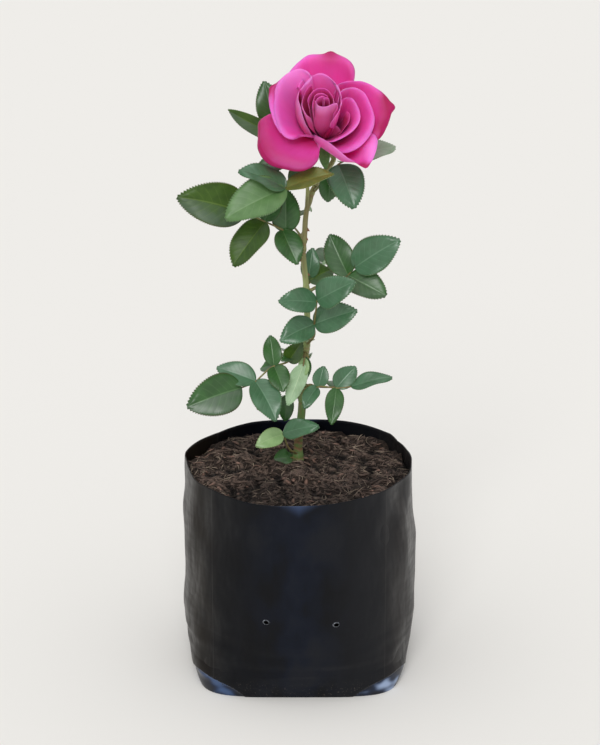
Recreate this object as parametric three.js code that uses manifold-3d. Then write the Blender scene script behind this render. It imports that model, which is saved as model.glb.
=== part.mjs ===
// Garden rose in a black film grow bag: one green cane that ends in a single large bloom.
// Millimetres, Z up, X to the right and Y away from the viewer.
// The origin is the middle of the bag's flat underside.
import * as THREE from 'three';
import { mergeVertices } from 'three/addons/utils/BufferGeometryUtils.js';
import Module from 'manifold-3d';

const wasm = await Module();
wasm.setup();

// Driving dimensions
const CLEAR = 0.3;
const BAG = { rim: 92, belly: 94.5, foot: 82, height: 168, wall: 1, floor: 2, sides: 40 };
const SOIL = { edge: 157, crown: 162, pad: 9, lump: 0.9 };
const CANE = { foot: 5.0, low: 3.9, fork: 2.0, neck: 1.9, fork_share: 0.78, sides: 8 };
const SHOOT = { foot: 1.7, tip: 1.1, sides: 6 };
const RACHIS = { foot: 1.1, tip: 0.65, sides: 3 };
const LEAFLET = { thick: 1.0, root: 1.3, bend: 22, fold: 14, stations: 6,
  base: 0.5, point: 0.66 };
const BLOOM = { hip: [20, 6, 430], rise: 52, lean: -3, thick: 0.9, foot: 3.5,
  rows: [0, 0.3, 0.55, 0.7, 0.85, 1], columns: 8 };
const HIP = { length: 9, neck: 2.3, belly: 5.2, sepal: 19 };

// Plain vector helpers
const vec = (x, y, z) => new THREE.Vector3(x, y, z);
const radians = THREE.MathUtils.degToRad;
const clamp = THREE.MathUtils.clamp;
const mix = THREE.MathUtils.lerp;

// The direction with a compass heading from +X and a rise above the level, both in degrees.
function aim(heading, rise) {
  const level = Math.cos(radians(rise));
  const turn = radians(heading);
  return vec(level * Math.cos(turn), level * Math.sin(turn), Math.sin(radians(rise)));
}

// A solid from corner points and triangles, turned so that its faces point out.
function solidFrom(points, triangles) {
  let volume = 0;
  for (const [a, b, c] of triangles) {
    volume += points[a].dot(points[b].clone().cross(points[c]));
  }
  const order = volume > 0 ? triangles : triangles.map(([a, b, c]) => [a, c, b]);
  const shape = new THREE.BufferGeometry().setFromPoints(points);
  shape.setIndex(order.flat());
  const merged = mergeVertices(shape, 1e-5);
  return new wasm.Manifold(new wasm.Mesh({
    numProp: 3,
    vertProperties: Float32Array.from(merged.attributes.position.array),
    triVerts: Uint32Array.from(merged.index.array),
  }));
}

// Rings of points that all have the same count are joined in order. Each end is closed by a fan
// round the middle of its ring, or round a tip that is given for the last one.
function ringSolid(rings, tip) {
  const count = rings[0].length;
  const points = rings.flat();
  const triangles = [];
  for (let i = 0; i + 1 < rings.length; i += 1) {
    for (let j = 0; j < count; j += 1) {
      const here = i * count + j;
      const next = i * count + ((j + 1) % count);
      triangles.push([here, next, next + count], [here, next + count, here + count]);
    }
  }
  const last = (rings.length - 1) * count;
  for (const [start, ring, flip] of [[0, rings[0], true], [last, rings.at(-1), false]]) {
    const hub = points.length;
    const middle = ring.reduce((sum, p) => sum.add(p), vec(0, 0, 0)).divideScalar(count);
    points.push(!flip && tip ? tip : middle);
    for (let j = 0; j < count; j += 1) {
      const a = start + j;
      const b = start + ((j + 1) % count);
      triangles.push(flip ? [b, a, hub] : [a, b, hub]);
    }
  }
  return solidFrom(points, triangles);
}

// A thin plate between two grids of points of the same size, closed along its four edges.
function plateSolid(front, back) {
  const rows = front.length;
  const columns = front[0].length;
  const points = [...front.flat(), ...back.flat()];
  const shift = rows * columns;
  const id = (i, j) => i * columns + j;
  const triangles = [];
  for (let i = 0; i + 1 < rows; i += 1) {
    for (let j = 0; j + 1 < columns; j += 1) {
      const [a, b, c, d] = [id(i, j), id(i + 1, j), id(i + 1, j + 1), id(i, j + 1)];
      triangles.push([a, b, c], [a, c, d]);
      triangles.push([a + shift, c + shift, b + shift], [a + shift, d + shift, c + shift]);
    }
  }
  const edge = [];
  for (let j = 0; j + 1 < columns; j += 1) edge.push([id(0, j), id(0, j + 1)]);
  for (let i = 0; i + 1 < rows; i += 1) edge.push([id(i, columns - 1), id(i + 1, columns - 1)]);
  for (let j = columns - 1; j > 0; j -= 1) edge.push([id(rows - 1, j), id(rows - 1, j - 1)]);
  for (let i = rows - 1; i > 0; i -= 1) edge.push([id(i, 0), id(i - 1, 0)]);
  for (const [a, b] of edge) triangles.push([a, b, b + shift], [a, b + shift, a + shift]);
  return solidFrom(points, triangles);
}

// A smooth curve through hand-set points.
const route = (points) => new THREE.CatmullRomCurve3(points.map((p) => vec(...p)), false, 'centripetal');

// A tapering limb along a curve; radius is a function of the share of its length.
function limb(curve, radius, sides, steps, ends = {}) {
  const rings = [];
  for (let i = 0; i <= steps; i += 1) {
    const share = i / steps;
    const middle = curve.getPointAt(share);
    let along = curve.getTangentAt(share);
    if (i === 0 && ends.first) along = ends.first;
    if (i === steps && ends.last) along = ends.last;
    const guide = Math.abs(along.z) > 0.8 ? vec(1, 0, 0) : vec(0, 0, 1);
    const side = guide.clone().addScaledVector(along, -guide.dot(along)).normalize();
    const other = along.clone().cross(side);
    const ring = [];
    for (let j = 0; j < sides; j += 1) {
      const turn = (2 * Math.PI * j) / sides;
      ring.push(middle.clone()
        .addScaledVector(side, radius(share) * Math.cos(turn))
        .addScaledVector(other, radius(share) * Math.sin(turn)));
    }
    rings.push(ring);
  }
  return ringSolid(rings);
}

// Only the largest closed skin is kept, which drops loose scraps and fills sealed hollows.
function largest(solid) {
  return solid.decompose().reduce((best, part) => (part.volume() > best.volume() ? part : best));
}

const rose = new THREE.Group();

function addNode(name, solid, colour, roughness) {
  const skin = solid.getMesh();
  const shape = new THREE.BufferGeometry();
  const corners = new Float32Array(skin.numVert * 3);
  for (let i = 0; i < skin.numVert; i += 1) {
    corners.set(skin.vertProperties.subarray(i * skin.numProp, i * skin.numProp + 3), i * 3);
  }
  shape.setAttribute('position', new THREE.BufferAttribute(corners, 3));
  shape.setIndex(new THREE.BufferAttribute(Uint32Array.from(skin.triVerts), 1));
  const finish = new THREE.MeshStandardMaterial({ color: colour, roughness, metalness: 0 });
  const mesh = new THREE.Mesh(shape, finish);
  mesh.name = name;
  rose.add(mesh);
}

// Grow bag: a round tube of film that its folded corners square off at the foot.
// The outline at one height is a superellipse, from a circle to a rounded square.
const BAG_LEVELS = [
  { z: 0, wide: BAG.foot, deep: 80, square: 5 },
  { z: 8, wide: 86.5, deep: 83, square: 4 },
  { z: 22, wide: 91, deep: 88.5, square: 2.7 },
  { z: 50, wide: BAG.belly, deep: 94, square: 2.1 },
  { z: 110, wide: 94, deep: 94, square: 2 },
  { z: BAG.height, wide: BAG.rim, deep: BAG.rim, square: 2 },
];

function levelRing({ z, wide, deep, square }, inset) {
  return Array.from({ length: BAG.sides }, (_, j) => {
    const turn = (2 * Math.PI * j) / BAG.sides;
    const [c, s] = [Math.cos(turn), Math.sin(turn)];
    const radius = (Math.abs(c / wide) ** square + Math.abs(s / deep) ** square) ** (-1 / square) - inset;
    return vec(radius * c, radius * s, z);
  });
}

// The bag's outline at any height, on the straight line between the levels above and below.
function bagRing(z, inset) {
  const above = clamp(BAG_LEVELS.findIndex((level) => level.z > z), 1, BAG_LEVELS.length - 1);
  const [lower, upper] = [BAG_LEVELS[above - 1], BAG_LEVELS[above]];
  const share = (z - lower.z) / (upper.z - lower.z);
  const upperRing = levelRing(upper, inset);
  return levelRing(lower, inset).map((p, j) => p.lerp(upperRing[j], share));
}

function growBag() {
  const outside = BAG_LEVELS.map((level) => levelRing(level, 0));
  const inside = BAG_LEVELS.slice(1).reverse().map((level) => levelRing(level, BAG.wall));
  const floor = bagRing(BAG.floor, BAG.wall);
  return ringSolid([...outside, ...inside, floor]);
}

// Potting mix: fills the bag to 11 mm under its rim, heaped a little round the cane's foot.
function pottingMix(foot) {
  const inset = BAG.wall + CLEAR;
  const base = BAG.floor + CLEAR;
  const walls = [base, 8, 22, 50, 110, SOIL.edge].map((z) => bagRing(z, inset));
  const rim = walls.at(-1);
  const top = [0.86, 0.7, 0.52, 0.34, SOIL.pad / BAG.rim].map((share, k) => rim.map((p, j) => {
    const x = mix(foot.x, p.x, share);
    const y = mix(foot.y, p.y, share);
    const heap = SOIL.edge + (SOIL.crown - SOIL.edge) * (1 - share ** 1.4);
    const lump = k < 4 ? SOIL.lump * Math.sin(x * 0.13 + k) * Math.cos(y * 0.11 + j * 0.2) : 0;
    return vec(x, y, k < 4 ? heap + lump : SOIL.crown);
  }));
  // The rings run downward, as the bag's inner wall does, so that both split into like faces.
  return ringSolid([...walls, ...top].reverse());
}

// Bloom frame: out of the hip along its axis, which rises toward the viewer.
const hipTop = vec(...BLOOM.hip);
const bloomAxis = aim(270 + BLOOM.lean, BLOOM.rise);
const bloomRight = bloomAxis.clone().cross(vec(0, 0, -1)).normalize();
const bloomUp = bloomAxis.clone().cross(bloomRight);
const inBloom = (x, y, z) => hipTop.clone()
  .addScaledVector(bloomRight, x).addScaledVector(bloomUp, y).addScaledVector(bloomAxis, z);

// One cane carries everything: it leans back at its foot, forks under the bloom and runs on
// as the bloom's stalk.
const caneRoute = route([
  [-1, 12, SOIL.crown + CLEAR], [-0.4, 11, 185], [2.3, 9, 208], [3, 7.5, 232], [3.8, 6.5, 247],
  [6, 5, 267], [6.3, 3, 293], [5.5, 2, 315], [3.3, 1, 340], [4.2, 1, 353], [5.9, 1, 374],
  [8, 2, 380], [11, 5, 389.5], [20, 11, 402], [26.5, 15, 411],
  inBloom(0, 0, -HIP.length - 6).toArray(), inBloom(0, 0, -HIP.length - CLEAR).toArray(),
]);
const shootRoute = route([[6.1, 1, 374], [6.4, 0, 383], [6.6, -1, 390], [6, 0, 401], [4, 3, 408]]);

function caneRadius(share) {
  const flare = (CANE.foot - CANE.low) * Math.max(0, 1 - share / 0.06) ** 2;
  const below = clamp(share / CANE.fork_share, 0, 1);
  const beyond = clamp((share - CANE.fork_share) / (1 - CANE.fork_share), 0, 1);
  return flare + mix(CANE.low, CANE.fork, below ** 0.6) + (CANE.neck - CANE.fork) * beyond;
}
const shootRadius = (share) => mix(SHOOT.foot, SHOOT.tip, share);

function caneSolid(extra) {
  const ends = { first: vec(0, 0, 1), last: bloomAxis };
  return limb(caneRoute, (share) => caneRadius(share) + extra, CANE.sides, 36, ends);
}
const shootSolid = (extra) => limb(shootRoute, (share) => shootRadius(share) + extra, SHOOT.sides, 10);

// The point of a limb's middle line at a height.
function atHeight(curve, height) {
  const shares = Array.from({ length: 401 }, (_, i) => i / 400);
  return curve.getPointAt(shares.find((share) => curve.getPointAt(share).z >= height));
}

// Leaflet: a pointed oval blade on an arching midrib, its halves raised to a shallow V.
// The half width runs as share^base * (1 - share)^point, scaled to its widest place.
function leaflet(base, long, wide, along, face) {
  const up = face.clone().addScaledVector(along, -face.dot(along)).normalize();
  const side = up.clone().cross(along);
  const bend = radians(LEAFLET.bend);
  const fold = radians(LEAFLET.fold);
  const arc = (long * bend) / 2 / Math.sin(bend / 2);
  const widest = LEAFLET.base / (LEAFLET.base + LEAFLET.point);
  const rings = [];
  for (let i = 0; i < LEAFLET.stations; i += 1) {
    const share = i / LEAFLET.stations;
    const swell = (share / widest) ** LEAFLET.base * ((1 - share) / (1 - widest)) ** LEAFLET.point;
    const half = Math.max(0.5, (wide / 2) * swell);
    const slope = bend * (0.5 - share);
    const middle = base.clone()
      .addScaledVector(along, (arc / bend) * (Math.sin(bend / 2) - Math.sin(slope)))
      .addScaledVector(up, (arc / bend) * (Math.cos(slope) - Math.cos(bend / 2)));
    if (i === 0) middle.addScaledVector(along, -LEAFLET.root);
    const normal = up.clone().multiplyScalar(Math.cos(slope)).addScaledVector(along, -Math.sin(slope));
    const edge = (way) => middle.clone()
      .addScaledVector(side, way * half * Math.cos(fold)).addScaledVector(normal, half * Math.sin(fold));
    const thick = LEAFLET.thick / 2;
    rings.push([edge(-1), middle.clone().addScaledVector(normal, thick), edge(1),
      middle.clone().addScaledVector(normal, -thick)]);
  }
  return ringSolid(rings, base.clone().addScaledVector(along, long));
}

// Compound leaves. Each stands on its limb at a height; its stalk runs through offsets from
// there. A leaflet row holds: share of the stalk, length, width, heading, rise and, where its
// upper side isn't turned to the light, that side's own heading and rise.
const LIGHT = [270, 30];
const LEAVES = {
  leaf_upper_left: {
    limb: caneRoute, height: 343, stalk: [[-12, -5, 14], [-30, -15, 26], [-43, -19, 33]],
    leaflets: [[1, 54, 34, 188, 22, 270, 18], [0.72, 42, 26, 216, -48, 250, 25], [0.72, 26, 18, 60, 50, 270, 15],
      [0.42, 30, 21, 298, -50, 280, 35], [0.36, 33, 23, 100, 83, 270, 8]],
  },
  leaf_bloom_left: {
    limb: shootRoute, height: 394, stalk: [[-7, -11, 2], [-17, -25, 3]],
    leaflets: [[1, 51, 33, 200, -21, 270, 40], [0.97, 38, 22, 183, 24, 270, 56],
      [0.97, 38, 20, 352, 16, 270, 56], [0.75, 26, 17, 50, 48, 290, 10]],
  },
  leaf_bloom_behind_left: {
    limb: shootRoute, height: 403, stalk: [[-11, 13, 12], [-24, 19, 31]],
    leaflets: [[1, 36, 22, 140, 75, 270, 5], [0.8, 46, 19, 170, 26, 270, 30],
      [0.45, 34, 16, 184, -24, 270, 30]],
  },
  leaf_bloom_right: {
    limb: caneRoute, height: 387, stalk: [[8, -4, 8], [19, -1, 21], [30, 3, 26]],
    leaflets: [[1, 36, 20, 13, 10, 270, 50], [0.72, 38, 29, 297, -49, 280, 30],
      [0.45, 20, 16, 300, -76, 270, 15], [0.8, 28, 19, 50, -12, 90, 50]],
  },
  leaf_bloom_behind_right: {
    limb: shootRoute, height: 406, stalk: [[8, 16, 8], [18, 34, 20]],
    leaflets: [[1, 38, 25, 60, 40, 90, 40], [0.7, 32, 21, 130, 30, 90, 40], [0.7, 32, 21, 15, 10, 60, 40]],
  },
  leaf_upper_back: {
    limb: caneRoute, height: 350, stalk: [[-7, 14, 6], [-15, 36, 8]],
    leaflets: [[1, 36, 24, 112, 5, 90, 60], [0.72, 30, 20, 175, 6, 90, 60], [0.72, 30, 20, 60, 10, 90, 60]],
  },
  leaf_middle_right: {
    limb: caneRoute, height: 308, stalk: [[14, -5, 8], [31, -7, 15], [37, -8, 22]],
    leaflets: [[1, 42, 29, 349, 37, 270, 25], [0.82, 35, 23, 144, 56, 270, 15],
      [0.82, 34, 24, 333, -26, 270, 35]],
  },
  leaf_middle_back: {
    limb: caneRoute, height: 312, stalk: [[2, 8, 4], [9, 26, 8], [14, 42, 8]],
    leaflets: [[1, 38, 25, 75, 5, 90, 60], [0.75, 33, 21, 140, 12, 90, 60], [0.75, 33, 21, 12, 12, 80, 55],
      [0.2, 25, 15, 75, 73, 270, 0], [0.14, 24, 20, 33, 20, 270, 40]],
  },
  leaf_middle_front: {
    limb: caneRoute, height: 265, stalk: [[6, -13, 11], [6, -19, 22], [8, -32, 45]],
    leaflets: [[1, 36, 25, 335, 31], [0.96, 32, 20, 203, 12], [0.54, 31, 22, 205, -13], [0.54, 37, 24, 342, 25]],
  },
  leaf_lower_left: {
    limb: caneRoute, height: 262, stalk: [[-15, -9, -9], [-27, -13, -12], [-41, -18, -23], [-50, -21, -26]],
    leaflets: [[1, 46, 33, 198, -9, 270, 18], [0.8, 33, 20, 170, 15, 270, 40],
      [0.81, 37, 24, 312, -39, 280, 40], [0.5, 25, 15, 103, 64, 270, 15], [0.5, 23, 18, 299, -43, 280, 40],
      [0.3, 23, 15, 320, 56, 270, 15], [0.45, 17, 12, 150, -18, 270, 50],
      [0.2, 13, 9, 215, 0, 270, 50]],
  },
  leaf_lower_hanging: {
    limb: caneRoute, height: 259, stalk: [[-1, -10, -3], [-2, -14, -8]],
    leaflets: [[0.9, 35, 15, 222, -66, 90, 5], [0.6, 15, 9, 240, -76, 270, 10],
      [0.5, 18, 9, 330, -80, 270, 10]],
  },
  leaf_lower_behind: {
    limb: caneRoute, height: 254, stalk: [[-3, 16, -6], [-8, 34, -12]],
    leaflets: [[1, 33, 22, 105, -5, 90, 60], [0.7, 27, 18, 165, -12, 90, 60], [0.7, 24, 16, 70, -16, 90, 60]],
  },
  leaf_lower_right: {
    limb: caneRoute, height: 227, stalk: [[8, -11, 4], [15, -13, 6], [28, -17, 6], [38, -19, 8]],
    leaflets: [[1, 33, 16, 351, 12, 270, 60], [0.74, 23, 17, 28, 48, 270, 25], [0.74, 30, 15, 257, -54, 270, 35],
      [0.42, 17, 13, 58, 68, 270, 15], [0.4, 22, 13, 228, -32, 270, 50]],
  },
  leaf_low_right_back: {
    limb: caneRoute, height: 230, stalk: [[18, 4, -3], [33, 11, -5]],
    leaflets: [[1, 18, 11, 51, 43, 270, 10], [0.9, 12, 9, 120, 62, 270, 10], [0.75, 24, 16, 80, -5, 90, 60]],
  },
  leaf_low_left_back: {
    limb: caneRoute, height: 218, stalk: [[-11, 2, 3], [-20, 3, -6]],
    leaflets: [[1, 17, 11, 190, -4, 270, 20], [0.5, 22, 13, 206, -78, 270, 10], [0.8, 22, 15, 100, -10, 90, 60]],
  },
  leaf_base_front: {
    limb: caneRoute, height: 170, stalk: [[-7, -14, 10], [-12, -20, 25]],
    leaflets: [[1, 31, 17, 346, 19, 270, 45], [0.97, 25, 19, 206, -8, 270, 35]],
  },
  leaf_base_left: {
    limb: caneRoute, height: 166, stalk: [[-6, -6, 3]],
    leaflets: [[1, 16, 14, 215, 11, 270, 45], [0.8, 9, 6, 190, 30, 270, 30]],
  },
};

const limbsClear = caneSolid(CLEAR).add(shootSolid(CLEAR));

function compoundLeaf({ limb: carrier, height, stalk, leaflets }) {
  const foot = atHeight(carrier, height);
  const curve = route([foot.toArray(), ...stalk.map((step) => foot.clone().add(vec(...step)).toArray())]);
  const stalkRadius = (share) => mix(RACHIS.foot, RACHIS.tip, share);
  let leaf = limb(curve, stalkRadius, RACHIS.sides, 2 * stalk.length + 1);
  for (const [at, long, wide, heading, rise, turn = LIGHT[0], tilt = LIGHT[1]] of leaflets) {
    leaf = leaf.add(leaflet(curve.getPointAt(at), long, wide, aim(heading, rise), aim(turn, tilt)));
  }
  return largest(leaf.subtract(limbsClear));
}

// A petal: the stretch of the foot's ring that it grows from, in degrees; how far it bellies out
// from the axis, arches along it and folds over behind the rim, each at the first and last rim
// point; and its rim, as right, up and out of the bloom.
const PETALS = {
  back: [[170, 20], [3, 3], [5, 5], [4, 4], [
    [-36, 24, 24], [-31, 27, 33], [-26, 32, 37], [-21, 39, 39], [-14, 46, 39], [-6, 47, 39],
    [3, 47, 39], [10, 47, 39], [17, 42, 38], [21, 35, 36], [22, 29, 31], [18, 24, 20]]],
  right: [[75, -50], [3, 3], [7, 7], [4, 2], [
    [7, 8, 38], [10, 12, 43], [15, 16, 42], [22, 19, 40], [32, 20, 37], [40, 17, 34], [46, 12, 31],
    [49, 4, 29], [49, -5, 28], [46, -14, 26], [41, -22, 23], [31, -20, 16]]],
  front_right: [[235, 350], [14, 3], [-2, 5], [0, 2], [
    [-8, -4, 7], [-1, -19, 20], [8, -32, 27], [16, -40, 26], [24, -44, 23], [30, -45, 20],
    [35, -43, 21], [39, -36, 25], [40, -25, 26], [32, -3, 20]]],
  front_left: [[165, 268], [3, 3], [8, 8], [3, 1], [
    [-32, 4, 17], [-41, 3, 20], [-49, -2, 19], [-50, -13, 18], [-48, -29, 16], [-41, -39, 14],
    [-27, -44, 13], [-15, -45, 13], [-5, -36, 12], [-4, -21, 10], [-8, -5, 5]]],
  left_tip: [[115, 215], [3, 3], [5, 5], [2, 2], [
    [-31, 28, 36], [-36, 18, 39], [-39, 12, 40], [-41, 7, 39], [-41, 0, 37], [-39, -8, 34],
    [-36, -15, 30], [-32, -20, 26]]],
  left: [[105, 238], [3, 3], [6, 6], [6, 2], [
    [-19, 12, 35], [-12, 14, 43], [-10, 18, 43], [-14, 25, 42], [-20, 29, 41], [-28, 26, 40],
    [-35, 18, 38], [-38, 7, 36], [-38, -6, 34], [-34, -17, 30], [-29, -23, 26], [-23, -24, 24],
    [-19, -18, 19], [-13, -6, 9]]],
  right_bowl: [[60, -85], [3, 3], [3, 3], [4, 2], [
    [10, -1, 38], [12, 5, 44], [20, 11, 42], [29, 9, 40], [35, -2, 38], [38, -12, 35], [35, -24, 31],
    [26, -34, 27], [15, -35, 22], [6, -21, 13]]],
  right_cup: [[55, -100], [2, 2], [1, 1], [3, 2], [
    [11, -4, 37], [13, 1, 41], [19, 3, 41], [25, -5, 39], [27, -14, 36], [22, -22, 32], [9, -26, 25],
    [1, -19, 16], [-5, -8, 6]]],
  back_cup: [[130, -60], [2, 2], [2, 2], [7, 2], [
    [-21, 18, 32], [-17, 25, 35], [-10, 25, 38], [-4, 25, 40], [3, 19, 42], [10, 7, 44], [13, -4, 43],
    [11, -12, 40], [6, -12, 31], [2, -5, 13]]],
  left_wrap: [[130, 240], [9, 9], [0, 0], [0.5, 0.5], [
    [-15, 5, 36], [-18, 8, 43], [-19, 1, 42], [-17, -7, 38], [-14, -10, 27], [-10, -8, 13],
    [-9, -7, 5]]],
  left_strip: [[100, 235], [4, 4], [0, 0], [1, 1], [
    [-8, 9, 36], [-10, 11, 45], [-14, 4, 45], [-16, -4, 43], [-13, -10, 37], [-10, -8, 30],
    [-8, -5, 18]]],
  ring: [[215, -30], [2, 2], [0, 0], [0.6, 0.6], [
    [-11, -6, 39], [-12, -3, 45], [-8, 4, 47], [-2, 6, 47], [3, 4, 47], [7, -2, 46], [6, -6, 39]]],
  bud: [[185, 300], [4.5, 4.5], [0, 0], [0.4, 0.4], [
    [-8, -2, 41], [-7, -2, 43], [-4, -8, 44], [1, -10, 45], [7, -7, 45], [10, -6, 44], [7, -8, 35],
    [2, -7, 22], [-2, -4, 9]]],
};

// The petal spans from its foot, t = 0, to its rim, t = 1. Belly, arch and fold shrink where the
// span is short.
function petal([[first, last], belly, arch, fold, rim]) {
  const edge = route(rim);
  const foot = (v) => {
    const turn = radians(mix(first, last, v));
    return vec(BLOOM.foot * Math.cos(turn), BLOOM.foot * Math.sin(turn), 0.5);
  };
  const reach = (v) => foot(v).distanceTo(edge.getPointAt(v));
  const longest = Math.max(...Array.from({ length: 61 }, (_, k) => reach(k / 60)));
  const place = (t, v) => {
    const end = edge.getPointAt(v);
    const share = (reach(v) / longest) ** 0.7;
    const later = THREE.MathUtils.smoothstep(v, 0.4, 0.7);
    const [out, raised, rolled] = [belly, arch, fold].map(([from, to]) => share * mix(from, to, later));
    const outer = clamp(2 * t - 1, 0, 1);
    const over = 6.75 * outer ** 2 * (1 - outer) * rolled;
    return foot(v).lerp(end, t)
      .addScaledVector(vec(end.x, end.y, 0).normalize(), out * Math.sin(Math.PI * t) + 0.2 * over)
      .add(vec(0, 0, raised * Math.sin(Math.PI * t ** 1.3) + over));
  };
  const step = 0.01;
  const skin = (way) => BLOOM.rows.map((t) => Array.from({ length: BLOOM.columns + 1 }, (_, j) => {
    const v = j / BLOOM.columns;
    const ahead = place(Math.min(t + step, 1), v).sub(place(Math.max(t - step, 0), v));
    const aside = place(t, Math.min(v + step, 1)).sub(place(t, Math.max(v - step, 0)));
    const inward = ahead.cross(aside).normalize().multiplyScalar(Math.sign(last - first));
    const { x, y, z } = place(t, v).addScaledVector(inward, (way * BLOOM.thick) / 2);
    return inBloom(x, y, Math.max(z, 2 * CLEAR));
  }));
  return plateSolid(skin(1), skin(-1));
}

// A round body on the bloom's axis from [height, radius] stations.
function turned(stations, sides) {
  return ringSolid(stations.map(([height, radius]) => Array.from({ length: sides }, (_, j) => {
    const turn = (2 * Math.PI * j) / sides;
    return inBloom(radius * Math.cos(turn), radius * Math.sin(turn), height);
  })));
}

function bloomSolid() {
  const heart = turned([[CLEAR, 5], [4, 9], [12, 12], [24, 11], [34, 8], [42, 4.5], [40, 2.5]], 10);
  return largest(wasm.Manifold.union([heart, ...Object.values(PETALS).map(petal)]));
}

function hipSolid() {
  const body = turned([[-HIP.length, HIP.neck], [-6.5, 4.4], [-3.5, HIP.belly], [-1, 4.6], [0, 4.6]], 12);
  const sepals = [50, 122, 194, 266, 338].map((turn) => {
    const out = bloomRight.clone().multiplyScalar(Math.cos(radians(turn)))
      .addScaledVector(bloomUp, Math.sin(radians(turn)));
    const along = out.clone().addScaledVector(bloomAxis, -0.75).normalize();
    return leaflet(inBloom(0, 0, -2.2).addScaledVector(out, 4), HIP.sepal, 6, along, bloomAxis);
  });
  return largest(wasm.Manifold.union([body, ...sepals]).subtract(caneSolid(CLEAR)));
}

const caneFoot = caneRoute.getPointAt(0);
addNode('grow_bag', growBag(), '#1b1c1f', 0.42);
addNode('potting_mix', pottingMix(caneFoot), '#3b2a22', 0.95);
addNode('cane', caneSolid(0), '#7c8a4e', 0.5);
addNode('leafy_shoot', largest(shootSolid(0).subtract(caneSolid(CLEAR))), '#6f7a45', 0.5);
addNode('hip', hipSolid(), '#5d7a3f', 0.55);
addNode('bloom', bloomSolid(), '#d23f94', 0.5);
for (const [name, leaf] of Object.entries(LEAVES)) {
  addNode(name, compoundLeaf(leaf), '#4d7448', 0.45);
}

export default rose;
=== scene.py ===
# Garden rose in a black film grow bag.
# Shapes are worked out in millimetres and become metres where a mesh is made.
# X runs to the right, Y away from the viewer and Z up; the origin is under the bag's middle.
from functools import partial

import bpy
import numpy as np
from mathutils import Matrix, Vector


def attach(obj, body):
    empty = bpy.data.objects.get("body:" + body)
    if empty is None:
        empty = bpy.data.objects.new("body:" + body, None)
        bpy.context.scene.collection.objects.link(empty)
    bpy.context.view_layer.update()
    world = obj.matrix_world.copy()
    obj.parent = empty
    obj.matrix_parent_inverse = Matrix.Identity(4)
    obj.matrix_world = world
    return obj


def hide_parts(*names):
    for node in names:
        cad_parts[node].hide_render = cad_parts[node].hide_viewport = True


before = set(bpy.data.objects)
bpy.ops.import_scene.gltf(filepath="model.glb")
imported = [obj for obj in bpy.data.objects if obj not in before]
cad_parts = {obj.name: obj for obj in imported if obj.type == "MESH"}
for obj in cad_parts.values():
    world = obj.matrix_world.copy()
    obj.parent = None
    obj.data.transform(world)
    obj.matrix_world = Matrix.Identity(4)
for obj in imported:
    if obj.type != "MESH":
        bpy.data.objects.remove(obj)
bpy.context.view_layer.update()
scene = bpy.context.scene

# The photograph looks down at the plant from 1.4 m in front: metres, degrees and millimetres
CAMERA = dict(place=(0.0008, -1.398, 0.711), down=18.5, lens=90.5, sensor=36)
camera = bpy.data.objects.new("camera", bpy.data.cameras.new("camera"))
camera.location = CAMERA["place"]
camera.rotation_euler = (np.radians(90 - CAMERA["down"]), 0, 0)
camera.data.lens = CAMERA["lens"]
camera.data.sensor_width = CAMERA["sensor"]
scene.collection.objects.link(camera)
scene.camera = camera
scene.view_settings.view_transform = "Standard"

# Sizes in millimetres and degrees. Those that the solids have too are the same there, apart from
# the film, stalks, blades and petals, which are thinner here, the blades' outline, and the
# sepals, which are longer and wider.
BAG = dict(foot=82, belly=94.5, rim=92, height=168, wall=0.8)
SOIL = dict(edge=157, crown=162, reach=90, back=8)
CANE = dict(foot=5.0, low=3.9, fork=2.0, neck=1.9, fork_share=0.78, stations=620, sides=24)
SHOOT = dict(foot=1.7, tip=1.1, stations=60, sides=14)
RACHIS = dict(foot=0.95, tip=0.55, stations=70, sides=10)
LEAFLET = dict(thick=0.36, bend=22, fold=14, base=0.56, point=0.82, tooth=1.7)
VEINS = dict(count=8, lean=0.25)
BLOOM = dict(hip=(20, 6, 430), rise=52, lean=-3, thick=0.5, foot=3.5)
SEPAL = dict(long=21, wide=9)
SEEDS = dict(leaf=100, wing=500, petal=700, sepal=900)
MM = 0.001


# Plain arithmetic on whole arrays

def unit(vectors):
    """The vectors scaled to length 1."""
    return vectors / np.linalg.norm(vectors, axis=-1, keepdims=True)


def aim(heading, rise):
    """The direction with a compass heading from +X and a rise above the level, in degrees."""
    turn, lift = np.radians(heading), np.radians(rise)
    return np.array([np.cos(lift) * np.cos(turn), np.cos(lift) * np.sin(turn), np.sin(lift)])


def mix(low, high, share):
    """low where share is 0 and high where it is 1, on a straight line between."""
    return low + (high - low) * share


def ease(value, low=0.0, high=1.0):
    """0 below low and 1 above high, with a smooth S between."""
    share = np.clip((value - low) / (high - low), 0, 1)
    return share * share * (3 - 2 * share)


def bump(value, width):
    """A bell curve of height 1, exp(-(value / width) squared)."""
    return np.exp(-(value / width) ** 2)


def round_turn(count):
    """Angles of count equal steps round a full turn, in radians."""
    return np.linspace(0, 2 * np.pi, count, endpoint=False)


def noise(points, size, seed):
    """Smooth random values from -1 to 1: a cubic lattice of random numbers with its corners
    size apart, blended by S curves inside each cell."""
    table = np.random.default_rng(seed).uniform(-1, 1, (32, 32, 32))
    place = np.asarray(points) / size
    cell = np.floor(place).astype(int)
    part = ease(place - cell)
    total = 0
    for corner in np.ndindex(2, 2, 2):
        weight = np.prod(np.where(corner, part, 1 - part), axis=-1)
        x, y, z = np.moveaxis((cell + corner) % 32, -1, 0)
        total = total + weight * table[x, y, z]
    return total


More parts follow.
